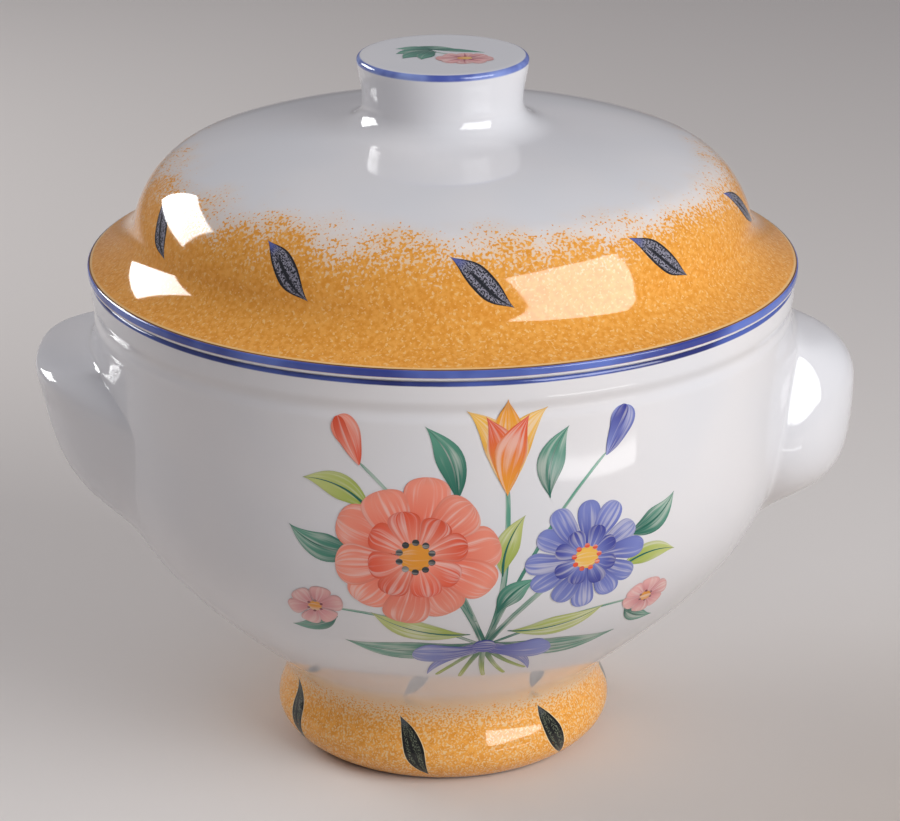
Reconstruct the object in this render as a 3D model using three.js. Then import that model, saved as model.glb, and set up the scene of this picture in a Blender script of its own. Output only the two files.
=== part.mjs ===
// Round covered vegetable dish in glazed earthenware: a deep bowl on a bulged foot ring, with two lug
// handles, and a domed lid that lifts off by its knob.
// Millimetres, +Z up. The origin is the centre of the foot where it stands on the table, and the handles
// lie along X. Profiles are drawn as (radius, height) and turned about the dish's axis.
import * as THREE from 'three';
import { mergeVertices } from 'three/addons/utils/BufferGeometryUtils.js';

// Fits
const LUTING_GAP = 0.3; // between a handle and the wall that it is stuck to
const LID_SEAT_GAP = 0.3; // between the bowl's rim and the underside of the lid
const RING_CLEARANCE = 1.3; // between the locating ring and the bowl's mouth, on the radius

// Foot ring, whose bulge and base are measured out and in from its neck
const FOOT_HEIGHT = 23;
const FOOT_NECK_RADIUS = 53;
const FOOT_NECK_WALL = 8;
const FOOT_BULGE = 3.6;
const FOOT_BULGE_HEIGHT = 10.5;
const FOOT_BASE_INSET = 5;
const FOOT_BASE_WIDTH = 6;
const FOOT_BASE_SLOPE = 27;

// Bowl, with heights above the top of the foot ring
const BOWL_HEIGHT = 141.2;
const BOWL_WALL = 6;
const BOWL_FLOOR = 8;
const BELLY_RADIUS = 114.5;
const BELLY_LOW_STEP = 9; // how far the foot of the belly stands out from the foot ring's neck
const BELLY_LOW_HEIGHT = 13.2;
const BELLY_LOW_SLOPE = 39.8;
const GROOVE_HEIGHT = 7.1;
const GROOVE_DEPTH = 0.6;
const COLLAR_STEP = 0.5; // how far the collar stands out from the belly
const COLLAR_HEIGHT = 7.1;
const RIM_ROUNDING = 1.5;

// Lug handles, with depths below the bowl's rim
const HANDLE_DEPTH = 25.2;
const HANDLE_LENGTH = 61;
const HANDLE_PROJECTION = 19.6;
const HANDLE_TOP_WIDTH = 42;
const HANDLE_ROOT_WIDTH = 112;
const HANDLE_TOE_WIDTH = 50;
const HANDLE_TOP_FALL = 2.5; // how much lower the top is at its outer edge than at the wall
const HANDLE_EDGE_ROUNDING = 6;
const HANDLE_FLARE_DEPTH = 24;
const HANDLE_SKIRT = 0.8; // thickness where a handle runs out on the wall

// Powers that shape a handle
const TOP_SQUARENESS = 3.2; // of the flat top's outline, between a round (2) and a square
const FLARE_SQUARENESS = 2.3;
const FLARE_SOFTNESS = 1.5; // of the way the sides run out on the wall
const FLARE_HASTE = 2; // how soon the sides open out below the top
const TOE_TAPER = 2;
const RUN_OUT_DELAY = 4.5;

// Lid, whose radii step in from its edge and whose heights step up from its underside
const LID_OVERHANG = 1; // past the bowl's collar
const LID_WALL = 5.5;
const FLANGE_ROUNDING = 0.8;
const FLANGE_HEIGHT = 2.6;
const FLANGE_BAND_WIDTH = 3;
const FLANGE_SLOPE = -35;
const COVE_INSET = 15.4;
const COVE_RISE = 13.9;
const COVE_SLOPE = -76;
const SHOULDER_INSET = 16.6;
const SHOULDER_RISE = 20.8;
const SHOULDER_SLOPE = -19.8;
const CROWN_RISE = 9.8;
const CROWN_SLOPE = -4.6;
const RING_WIDTH = 6;
const RING_DEPTH = 9;
const RING_CHAMFER = 1.5;

// Knob, with heights above the top of the lid
const KNOB_HEIGHT = 22.7;
const KNOB_NECK_RADIUS = 26;
const KNOB_NECK_HEIGHT = 7;
const KNOB_ROOT_FLARE = 5;
const KNOB_ROOT_SLOPE = 150;
const KNOB_TOP_FLARE = 1.8;
const KNOB_EDGE_ROUNDING = 1.6;
const KNOB_WALL = 7;
const KNOB_CROWN = 6;

// Facets, and how far a curve follows its end slopes, as a share of the distance between its ends
const TURN_STEPS = 56;
const KNOB_STEPS = 40;
const CURVE_STEPS = 5;
const WALL_STEPS = 16;
const INSIDE_STEPS = 8;
const HANDLE_ROWS = 16;
const HANDLE_COLUMNS = 16;
const SOFT_PULL = 0.34;
const BELLY_LOW_PULL = 0.575;
const BELLY_TOP_PULL = 0.42;

// Slopes, in degrees from outward
const LEVEL = 0;
const UPRIGHT = 90;

const WHITE_GLAZE = 0xe9e7e3;
const OCHRE_GLAZE = 0xd98a2b;
const GLAZE_ROUGHNESS = 0.12;

const COLLAR_RADIUS = BELLY_RADIUS + COLLAR_STEP;
const MOUTH_RADIUS = COLLAR_RADIUS - BOWL_WALL;
const BELLY_HEIGHT = BOWL_HEIGHT - COLLAR_HEIGHT - GROOVE_HEIGHT;
const RING_OUTER = MOUTH_RADIUS - RING_CLEARANCE;
const RING_INNER = RING_OUTER - RING_WIDTH;
const LID_RADIUS = COLLAR_RADIUS + LID_OVERHANG;
const COVE_RADIUS = LID_RADIUS - COVE_INSET;
const COVE_HEIGHT = FLANGE_HEIGHT + COVE_RISE;
const SHOULDER_HEIGHT = COVE_HEIGHT + SHOULDER_RISE;
const LID_HEIGHT = SHOULDER_HEIGHT + CROWN_RISE;
const KNOB_ROOT_RADIUS = KNOB_NECK_RADIUS + KNOB_ROOT_FLARE;
const KNOB_TOP_RADIUS = KNOB_NECK_RADIUS + KNOB_TOP_FLARE;
const KNOB_HOLLOW_RADIUS = KNOB_NECK_RADIUS - KNOB_WALL;

const point = (radius, height) => new THREE.Vector2(radius, height);

function heading(degrees) {
  const angle = THREE.MathUtils.degToRad(degrees);
  return point(Math.cos(angle), Math.sin(angle));
}

// A cubic curve that leaves one point and reaches the other at the given slopes.
function curve(from, fromSlope, to, toSlope, steps = CURVE_STEPS, fromPull = SOFT_PULL, toPull = SOFT_PULL) {
  const reach = from.distanceTo(to);
  const near = from.clone().addScaledVector(heading(fromSlope), reach * fromPull);
  const far = to.clone().addScaledVector(heading(toSlope), -reach * toPull);
  return new THREE.CubicBezierCurve(from, near, far, to).getPoints(steps);
}

// The curve at a wall's thickness on the right-hand side of the way along it.
function offsetRight(points, distance) {
  return points.map((here, index) => {
    const before = points[Math.max(index - 1, 0)];
    const after = points[Math.min(index + 1, points.length - 1)];
    const along = after.clone().sub(before).normalize();
    return point(here.x + along.y * distance, here.y - along.x * distance);
  });
}

// Only positions are kept, so that the seam of a turned piece closes.
function solid(geometry) {
  geometry.deleteAttribute('normal');
  geometry.deleteAttribute('uv');
  return mergeVertices(geometry);
}

function turned(profile, steps = TURN_STEPS) {
  const geometry = new THREE.LatheGeometry(profile, steps);
  geometry.rotateX(Math.PI / 2);
  return solid(geometry);
}

function glazed(name, geometry, colour) {
  const finish = { color: colour, roughness: GLAZE_ROUGHNESS, metalness: 0 };
  const mesh = new THREE.Mesh(geometry, new THREE.MeshStandardMaterial(finish));
  mesh.name = name;
  return mesh;
}

// Foot ring: a flat base, a round bulge and a neck that carries the bowl's flat bottom.
function footProfile() {
  const base = point(FOOT_NECK_RADIUS - FOOT_BASE_INSET, 0);
  const bulge = point(FOOT_NECK_RADIUS + FOOT_BULGE, FOOT_BULGE_HEIGHT);
  const neck = point(FOOT_NECK_RADIUS, FOOT_HEIGHT);
  return [
    ...curve(base, FOOT_BASE_SLOPE, bulge, UPRIGHT),
    ...curve(bulge, UPRIGHT, neck, UPRIGHT).slice(1),
    point(FOOT_NECK_RADIUS - FOOT_NECK_WALL, FOOT_HEIGHT),
    point(base.x - FOOT_BASE_WIDTH, 0),
    base,
  ];
}

// The bowl's side, from the hollow above the foot ring up to the groove under the collar.
function bellyCurve(steps) {
  const low = point(FOOT_NECK_RADIUS + BELLY_LOW_STEP, BELLY_LOW_HEIGHT);
  const high = point(BELLY_RADIUS, BELLY_HEIGHT);
  return curve(low, BELLY_LOW_SLOPE, high, UPRIGHT, steps, BELLY_LOW_PULL, BELLY_TOP_PULL);
}

function bowlOutside() {
  const belly = bellyCurve(WALL_STEPS);
  const neck = point(FOOT_NECK_RADIUS, 0);
  return [
    ...curve(neck, UPRIGHT, belly[0], BELLY_LOW_SLOPE),
    ...belly.slice(1),
    point(BELLY_RADIUS - GROOVE_DEPTH, BELLY_HEIGHT + GROOVE_HEIGHT / 2),
    point(COLLAR_RADIUS, BELLY_HEIGHT + GROOVE_HEIGHT),
    point(COLLAR_RADIUS, BOWL_HEIGHT - RIM_ROUNDING),
    point(COLLAR_RADIUS - RIM_ROUNDING, BOWL_HEIGHT),
  ];
}

function bowlProfile() {
  const rim = [
    point(MOUTH_RADIUS + RIM_ROUNDING, BOWL_HEIGHT),
    point(MOUTH_RADIUS, BOWL_HEIGHT - RIM_ROUNDING),
  ];
  const inside = offsetRight(bellyCurve(INSIDE_STEPS), -BOWL_WALL).reverse();
  const bottom = curve(point(0, BOWL_FLOOR), LEVEL, inside.at(-1), BELLY_LOW_SLOPE).reverse();
  return [point(0, 0), ...bowlOutside(), ...rim, ...inside, ...bottom.slice(1)];
}

function wallRadius(height) {
  const wall = bowlOutside();
  const next = wall.findIndex((place) => place.y >= height);
  const [low, high] = [wall[next - 1], wall[next]];
  return THREE.MathUtils.mapLinear(height, low.y, high.y, low.x, high.x);
}

// One row of a lug handle on the +X side: across its face and back along the wall. Its plan is a squared D at
// the flat top, which opens below into a wide flare on the wall, and its face runs back to the wall at the toe.
function handleRow(top, down) {
  const share = down / HANDLE_LENGTH;
  const flare = 1 - (1 - Math.min(down / HANDLE_FLARE_DEPTH, 1)) ** FLARE_HASTE;
  const short = Math.max(HANDLE_EDGE_ROUNDING - down, 0);
  const inset = HANDLE_EDGE_ROUNDING - Math.sqrt(HANDLE_EDGE_ROUNDING ** 2 - short ** 2);
  const reach = (HANDLE_PROJECTION - inset) * (1 - share ** RUN_OUT_DELAY);
  const root = THREE.MathUtils.lerp(HANDLE_ROOT_WIDTH, HANDLE_TOE_WIDTH, share ** TOE_TAPER);
  const width = THREE.MathUtils.lerp(HANDLE_TOP_WIDTH - inset, root, flare);
  const squareness = THREE.MathUtils.lerp(TOP_SQUARENESS, FLARE_SQUARENESS, flare);
  const landing = THREE.MathUtils.lerp(1 / TOP_SQUARENESS, FLARE_SOFTNESS, flare);
  const wall = wallRadius(top - down) + LUTING_GAP;
  const face = [];
  const back = [];
  for (let column = 0; column <= HANDLE_COLUMNS; column += 1) {
    const across = Math.sin(Math.PI * (column / HANDLE_COLUMNS - 0.5));
    const angle = (across * width) / 2 / BELLY_RADIUS;
    const proud = HANDLE_SKIRT + reach * (1 - Math.abs(across) ** squareness) ** landing;
    const fall = (HANDLE_TOP_FALL * proud * (1 - share)) / HANDLE_PROJECTION;
    const direction = new THREE.Vector3(Math.cos(angle), Math.sin(angle), 0);
    face.push(direction.clone().multiplyScalar(wall + proud).setZ(top - down - fall));
    back.push(direction.clone().multiplyScalar(wall).setZ(top - down));
  }
  return [...face, ...back.reverse()];
}

// The rows lie closer together towards the top and the toe, where the face turns.
function handleGeometry() {
  const rows = [];
  for (let row = 0; row <= HANDLE_ROWS; row += 1) {
    const down = (HANDLE_LENGTH * (1 - Math.cos((Math.PI * row) / HANDLE_ROWS))) / 2;
    rows.push(handleRow(BOWL_HEIGHT - HANDLE_DEPTH, down));
  }
  return closedLoft(rows);
}

// A closed body from a stack of rings of points, each end closed across from one side to the other.
function closedLoft(rings) {
  const count = rings[0].length;
  const faces = [];
  for (let ring = 0; ring < rings.length - 1; ring += 1) {
    for (let side = 0; side < count; side += 1) {
      const next = (side + 1) % count;
      const [a, b] = [ring * count + side, ring * count + next];
      const [c, d] = [a + count, b + count];
      faces.push(a, c, b, b, c, d);
    }
  }
  const last = (rings.length - 1) * count;
  for (let side = 0; side < count / 2 - 1; side += 1) {
    const [a, b] = [side, side + 1];
    const [c, d] = [count - 1 - side, count - 2 - side];
    faces.push(a, b, c, b, d, c);
    faces.push(last + a, last + c, last + b, last + b, last + c, last + d);
  }
  const geometry = new THREE.BufferGeometry();
  const positions = rings.flat().flatMap((place) => place.toArray());
  geometry.setAttribute('position', new THREE.Float32BufferAttribute(positions, 3));
  geometry.setIndex(faces);
  return solid(geometry);
}

// Lid: a flat land under the knob, a low crown, a round shoulder, a cove and a flange with a rolled edge.
// The inside follows at the wall's thickness down to the locating ring.
function lidProfile() {
  const land = point(KNOB_ROOT_RADIUS, LID_HEIGHT);
  const shoulder = point(COVE_RADIUS - SHOULDER_INSET, SHOULDER_HEIGHT);
  const cove = point(COVE_RADIUS, COVE_HEIGHT);
  const flange = point(LID_RADIUS - FLANGE_BAND_WIDTH, FLANGE_HEIGHT);
  const outside = [
    ...curve(land, CROWN_SLOPE, shoulder, SHOULDER_SLOPE),
    ...curve(shoulder, SHOULDER_SLOPE, cove, COVE_SLOPE).slice(1),
    ...curve(cove, COVE_SLOPE, flange, FLANGE_SLOPE).slice(1),
  ];
  const edge = [
    point(LID_RADIUS, FLANGE_ROUNDING),
    point(LID_RADIUS - FLANGE_ROUNDING, 0),
  ];
  const inside = offsetRight(outside, LID_WALL).filter((place) => place.x < RING_INNER).reverse();
  const hole = [
    point(KNOB_HOLLOW_RADIUS, LID_HEIGHT - LID_WALL),
    point(KNOB_HOLLOW_RADIUS, LID_HEIGHT),
  ];
  return [
    ...hole,
    ...outside,
    ...edge,
    point(RING_INNER, 0),
    point(RING_INNER, inside[0].y),
    ...inside,
    hole[0],
  ].reverse();
}

function ringProfile() {
  return [
    point(RING_INNER, 0),
    point(RING_INNER, -RING_DEPTH),
    point(RING_OUTER - RING_CHAMFER, -RING_DEPTH),
    point(RING_OUTER, RING_CHAMFER - RING_DEPTH),
    point(RING_OUTER, 0),
    point(RING_INNER, 0),
  ];
}

// Knob: a filleted root, a slightly waisted side and a flat top with a rounded edge, hollow from below.
function knobProfile() {
  const root = point(KNOB_ROOT_RADIUS, 0);
  const neck = point(KNOB_NECK_RADIUS, KNOB_NECK_HEIGHT);
  const edge = point(KNOB_TOP_RADIUS, KNOB_HEIGHT - KNOB_EDGE_ROUNDING);
  return [
    point(0, KNOB_HEIGHT - KNOB_CROWN),
    point(KNOB_HOLLOW_RADIUS, KNOB_HEIGHT - KNOB_CROWN),
    point(KNOB_HOLLOW_RADIUS, 0),
    ...curve(root, KNOB_ROOT_SLOPE, neck, UPRIGHT),
    ...curve(neck, UPRIGHT, edge, UPRIGHT).slice(1),
    point(KNOB_TOP_RADIUS - KNOB_EDGE_ROUNDING, KNOB_HEIGHT),
    point(0, KNOB_HEIGHT),
  ];
}

const rightHandle = glazed('right_handle', handleGeometry(), WHITE_GLAZE);
const leftHandle = glazed('left_handle', handleGeometry(), WHITE_GLAZE);
leftHandle.rotation.z = Math.PI;

const knob = glazed('lid_knob', turned(knobProfile(), KNOB_STEPS), WHITE_GLAZE);
knob.position.z = LID_HEIGHT;

const lid = new THREE.Group();
lid.position.z = BOWL_HEIGHT + LID_SEAT_GAP;
lid.add(
  glazed('lid_dome', turned(lidProfile()), OCHRE_GLAZE),
  glazed('lid_locating_ring', turned(ringProfile()), WHITE_GLAZE),
  knob,
);

const bowl = new THREE.Group();
bowl.position.z = FOOT_HEIGHT;
bowl.add(glazed('bowl_body', turned(bowlProfile()), WHITE_GLAZE), leftHandle, rightHandle, lid);

const dish = new THREE.Group();
dish.add(glazed('foot_ring', turned(footProfile()), OCHRE_GLAZE), bowl);

export default dish;
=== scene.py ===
"""Covered vegetable dish in glazed earthenware, with ochre sponging, blue lines and a painted bouquet.

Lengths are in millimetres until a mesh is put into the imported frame, which is in metres.
"""

import logging
import math
from dataclasses import dataclass, field, replace
from enum import Enum
from itertools import product

import bpy
import numpy as np
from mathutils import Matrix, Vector


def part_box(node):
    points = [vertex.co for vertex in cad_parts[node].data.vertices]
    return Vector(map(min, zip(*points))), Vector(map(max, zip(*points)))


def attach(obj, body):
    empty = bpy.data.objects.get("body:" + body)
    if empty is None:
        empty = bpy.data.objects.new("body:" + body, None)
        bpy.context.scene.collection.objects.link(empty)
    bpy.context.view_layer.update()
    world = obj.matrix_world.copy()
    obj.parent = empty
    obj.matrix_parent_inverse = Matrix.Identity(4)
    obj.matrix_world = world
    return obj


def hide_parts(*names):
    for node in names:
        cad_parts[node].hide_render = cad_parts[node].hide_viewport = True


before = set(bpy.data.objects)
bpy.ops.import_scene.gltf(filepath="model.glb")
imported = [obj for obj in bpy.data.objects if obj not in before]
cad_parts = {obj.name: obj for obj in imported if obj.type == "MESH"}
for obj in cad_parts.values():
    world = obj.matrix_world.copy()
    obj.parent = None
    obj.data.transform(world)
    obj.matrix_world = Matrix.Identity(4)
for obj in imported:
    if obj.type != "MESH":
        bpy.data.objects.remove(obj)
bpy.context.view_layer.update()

LOG = logging.getLogger("covered_dish")
MM = 0.001

Place = tuple[float, float]
Colour = tuple[float, float, float, float]
Socket = bpy.types.NodeSocket
Link = bpy.types.NodeSocket | bpy.types.Node

SOFT = {"interpolation_type": "SMOOTHSTEP"}
RGBA = {"data_type": "RGBA"}

# A clear glaze bends light about as window glass does.
GLAZE_IOR = 1.5
# What nearly all of a noise's values lie between.
NOISE_RANGE = (0.3, 0.7)
# The pull at both ends that makes a quarter turn of a profile a round arc.
ROUND = (0.39, 0.39)


def linear(code: str) -> Colour:
    """Turns an sRGB hex colour into linear RGBA by the sRGB curve.

    Args:
        code: A hash sign and six hex digits.

    Returns:
        Linear red, green and blue, and an alpha of 1.
    """
    shares = np.array([int(code[at:at + 2], 16) for at in (1, 3, 5)]) / 255
    curve = np.where(shares <= 0.04045, shares / 12.92, ((shares + 0.055) / 1.055) ** 2.4)
    return (*curve.tolist(), 1.0)


def smooth(share: np.ndarray) -> np.ndarray:
    """Eases a share from 0 to 1: three times its square less twice its cube, held at the ends."""
    held = np.clip(share, 0, 1)
    return held * held * (3 - 2 * held)


def blend(low: np.ndarray, high: np.ndarray, share: np.ndarray) -> np.ndarray:
    """Goes in a straight line from low to high as the share goes from 0 to 1."""
    return low + (high - low) * share


def bend(start: Place, start_slope: float, end: Place, end_slope: float, steps: int,
         start_pull: float = 0.34, end_pull: float = 0.34) -> np.ndarray:
    """Makes one smooth run of a profile, a cubic Bezier curve.

    Each inner control point lies along the slope at its end, at a share (the pull) of the chord's length.
    The curve is the four control points weighted by the cubic Bernstein terms.

    Args:
        start: Radius and height where the run starts.
        start_slope: Its direction there, in degrees from straight outward.
        end: Radius and height where the run ends.
        end_slope: Its direction there.
        steps: How many pieces the run is cut into.
        start_pull: How far the start's direction holds.
        end_pull: How far the end's direction holds.

    Returns:
        Rows of radius and height.
    """
    first, last = np.array(start, float), np.array(end, float)
    chord = np.linalg.norm(last - first)
    slopes = np.radians([start_slope, end_slope])
    second = first + chord * start_pull * np.array([np.cos(slopes[0]), np.sin(slopes[0])])
    third = last - chord * end_pull * np.array([np.cos(slopes[1]), np.sin(slopes[1])])
    t = np.linspace(0, 1, steps + 1)[:, None]
    return (1 - t) ** 3 * first + 3 * t * (1 - t) ** 2 * second + 3 * t * t * (1 - t) * third + t ** 3 * last


def line(start: Place, end: Place, steps: int = 1) -> np.ndarray:
    """Makes a straight run of a profile, as rows of radius and height."""
    return np.linspace(start, end, steps + 1)


def join(*runs: np.ndarray) -> np.ndarray:
    """Joins runs of a profile end to end and drops each point that repeats the one before it.

    Args:
        runs: Rows of radius and height, each starting where the last one ends.

    Returns:
        One list of rows.
    """
    rows = np.vstack(runs)
    apart = np.linalg.norm(np.diff(rows, axis=0), axis=1) > 1e-6
    return rows[np.concatenate([[True], apart])]


@dataclass
class Wall:
    """A turned profile from pole to pole, and the course along it that bands and strokes are laid out on."""

    rows: np.ndarray
    zero: Place
    top: Place
    course: np.ndarray = field(init=False)
    outside: slice = field(init=False)

    def __post_init__(self) -> None:
        """Measures the course along the rows from the zero point, and finds the outside's rows."""
        steps = np.linalg.norm(np.diff(self.rows, axis=0), axis=1)
        along = np.concatenate([[0], np.cumsum(steps)])
        first = int(np.argmin(np.linalg.norm(self.rows - self.zero, axis=1)))
        last = int(np.argmin(np.linalg.norm(self.rows - self.top, axis=1)))
        self.course = along - along[first]
        self.outside = slice(first, last + 1)

    def course_at(self, height: float) -> float:
        """Gives the outside's course at a height above the table."""
        return float(np.interp(height, self.rows[self.outside, 1], self.course[self.outside]))

    def place(self, x: np.ndarray, y: np.ndarray, lift: np.ndarray, azimuth: float) -> np.ndarray:
        """Wraps flat points on the outside: y is the course, and x over the radius there is the turn.

        Args:
            x: Millimetres to the right, seen from outside.
            y: The course, in millimetres up the wall.
            lift: Millimetres along the wall's normal.
            azimuth: Degrees from the front at which x is 0, to the right.

        Returns:
            Points in millimetres, with a last axis of 3.
        """
        course, rows = self.course[self.outside], self.rows[self.outside]
        tangent = np.gradient(rows, course, axis=0)
        tangent /= np.linalg.norm(tangent, axis=1)[:, None]
        radius, height, out_run, up_run = (np.interp(y, course, row) for row in (*rows.T, *tangent.T))
        turn = np.radians(azimuth) + x / radius
        reach = radius + lift * up_run
        return np.stack([reach * np.sin(turn), -reach * np.cos(turn), height - lift * out_run], axis=-1)


def loft_faces(rings: int, around: int, first: int = 0) -> list[list[int]]:
    """Lists the faces of closed rings of points, stacked and capped by a pole point at each end.

    Args:
        rings: How many rings there are.
        around: How many points each ring has.
        first: The index of the first pole point. The rings follow it, and then the last pole point.

    Returns:
        Quads from ring to ring, and a fan of triangles at each pole.
    """
    grid = first + 1 + np.arange(rings * around).reshape(rings, around)
    ahead = np.roll(grid, -1, axis=1)
    quads = np.stack([grid[:-1], ahead[:-1], ahead[1:], grid[1:]], axis=-1).reshape(-1, 4)
    low_pole, high_pole = np.full(around, first), np.full(around, first + 1 + rings * around)
    low_fan = np.stack([low_pole, ahead[0], grid[0]], axis=-1)
    high_fan = np.stack([grid[-1], ahead[-1], high_pole], axis=-1)
    return [*low_fan.tolist(), *quads.tolist(), *high_fan.tolist()]


def make_piece(name: str, points: np.ndarray, faces: list[list[int]], attributes: dict[str, np.ndarray],
               material: bpy.types.Material, normals: np.ndarray | None = None) -> bpy.types.Object:
    """Puts a mesh into the scene at the origin, with its place in its points.

    Args:
        name: The piece's name.
        points: Its points in millimetres.
        faces: Its faces, as point indices.
        attributes: Values per point, each with 1, 3 or 4 columns.
        material: Its finish.
        normals: Shading normals per point, where they are not the mesh's own.

    Returns:
        The new object.
    """
    mesh = bpy.data.meshes.new(name)
    mesh.from_pydata((points * MM).tolist(), [], faces)
    mesh.polygons.foreach_set("use_smooth", np.ones(len(faces), bool))
    kinds = {1: ("FLOAT", "value"), 3: ("FLOAT_VECTOR", "vector"), 4: ("FLOAT_COLOR", "color")}
    for title, values in attributes.items():
        kind, key = kinds[1 if values.ndim == 1 else values.shape[1]]
        mesh.attributes.new(title, kind, "POINT").data.foreach_set(key, values.astype(np.float32).ravel())
    if normals is not None:
        mesh.normals_split_custom_set_from_vertices(normals.tolist())
    mesh.materials.append(material)
    piece = bpy.data.objects.new(name, mesh)
    bpy.context.scene.collection.objects.link(piece)
    return piece


def make_turned(name: str, wall: Wall, points: np.ndarray, material: bpy.types.Material) -> bpy.types.Object:
    """Closes a turned surface at its two poles and makes a piece of it, which knows its course everywhere.

    Args:
        name: The piece's name.
        wall: The profile that was turned.
        points: Its points in millimetres by row, column and axis, without the rows at the poles.
        material: Its finish.

    Returns:
        The new object.
    """
    rings, around = points.shape[:2]
    low_pole, high_pole = ([[0, 0, wall.rows[end, 1]]] for end in (0, -1))
    stack = np.vstack([low_pole, points.reshape(-1, 3), high_pole])
    course = np.concatenate([wall.course[:1], np.repeat(wall.course[1:-1], around), wall.course[-1:]])
    return make_piece(name, stack, loft_faces(rings, around), {"course": course}, material)


def add_node(tree: bpy.types.NodeTree, kind: str, inputs: dict[str | int, object] | None = None,
             **settings: object) -> bpy.types.Node:
    """Adds one shader node, with its settings and with its inputs set or linked.

    Args:
        tree: The node tree.
        kind: The node's type, without the words ShaderNode in front.
        inputs: By name or number, a value, an output, or a node whose first output in use is meant.
        settings: The node's own properties.

    Returns:
        The new node.
    """
    node = tree.nodes.new("ShaderNode" + kind)
    for name, value in settings.items():
        setattr(node, name, value)
    for key, value in (inputs or {}).items():
        if isinstance(value, bpy.types.Node):
            value = next(output for output in value.outputs if output.enabled)
        if isinstance(value, Socket):
            tree.links.new(value, node.inputs[key])
        else:
            node.inputs[key].default_value = value
    return node


def new_tree(name: str) -> tuple[bpy.types.Material, bpy.types.NodeTree]:
    """Makes an empty node material.

    Args:
        name: The material's name.

    Returns:
        The material and its node tree.
    """
    material = bpy.data.materials.new(name)
    material.use_nodes = True
    material.node_tree.nodes.clear()
    return material, material.node_tree


def patches(size: float, detail: float = 1.0, unit: float = MM) -> dict[str, object]:
    """Gives the inputs of a noise whose patches are about the given size in millimetres."""
    return {"Scale": 0.5 / (size * unit), "Detail": detail}


def span(low: float, high: float, start: float = 0.0, end: float = 1.0) -> dict[str, object]:
    """Gives the inputs that take a value from start to end while it goes from low to high."""
    return {"From Min": low, "From Max": high, "To Min": start, "To Max": end}


class LinePaint(Enum):
    """Colours of banded lines, each where the brush was full and where it ran thin. The rim and foot lines
    are darkened so that they also paint shade, and the lid's dark edge line is a painted reflection.
    """

    BARE_WHITE = ("#E2E0E1", "#DCDCDF")
    BARE_CREAM = ("#F0C88C", "#EFBE78")
    # Partly painted shade: the real blue rim line, darkened to navy to stand in for the shade in the gap
    # under the lid's edge.
    RIM_BLUE_AND_SHADE = ("#2C3470", "#5164AE")
    EDGE_BLUE = ("#35428F", "#6178C6")
    KNOB_BLUE = ("#4E5DAA", "#8A9DD8")
    # Partly painted shade: a brown line round the foot's base edge that also stands in for the shade where
    # the foot meets the table.
    FOOT_BROWN_AND_SHADE = ("#5B3A1E", "#7A5228")
    # Painted reflection: a thin dark line for the dark that the rounding at the lid's edge mirrors.
    EDGE_PAINTED_REFLECTION = ("#4A2E1A", "#7A4E24")


@dataclass(frozen=True)
class Band:
    """A line banded round the ware on a wheel, between two courses."""

    low: float
    high: float
    paint: LinePaint
    edge: float
    wander: float = 0.3
    wave: float = 26.0
    load: float = 17.0
    load_range: Place = (0.38, 0.66)

    def lay(self, tree: bpy.types.NodeTree, course: Socket, around: Socket, under: Link) -> bpy.types.Node:
        """Lays the line over a colour.

        Its edges wander a little, and the brush leaves thin and full lengths.

        Args:
            tree: The material's nodes.
            course: Millimetres up the wall.
            around: Object coordinates.
            under: The colour below.

        Returns:
            The colour with the line on it.
        """
        low, high, edge = self.low + self.wander, self.high + self.wander, self.edge
        full, thin = (linear(code) for code in self.paint.value)
        swing = add_node(tree, "TexNoise", {"Vector": around, **patches(self.wave)})
        level = add_node(tree, "Math", {0: swing, 1: 2 * self.wander, 2: course}, operation="MULTIPLY_ADD")
        rise = add_node(tree, "MapRange", {"Value": level, **span(low - edge, low + edge)}, **SOFT)
        fall = add_node(tree, "MapRange", {"Value": level, **span(high - edge, high + edge, 1, 0)}, **SOFT)
        inside = add_node(tree, "Math", {0: rise, 1: fall}, operation="MULTIPLY")
        loaded = add_node(tree, "TexNoise", {"Vector": around, **patches(self.load, detail=3.0)})
        loaded = add_node(tree, "MapRange", {"Value": loaded, **span(*self.load_range)}, **SOFT)
        paint = add_node(tree, "Mix", {0: loaded, 6: thin, 7: full}, **RGBA)
        return add_node(tree, "Mix", {0: inside, 6: under, 7: paint}, **RGBA)


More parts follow.
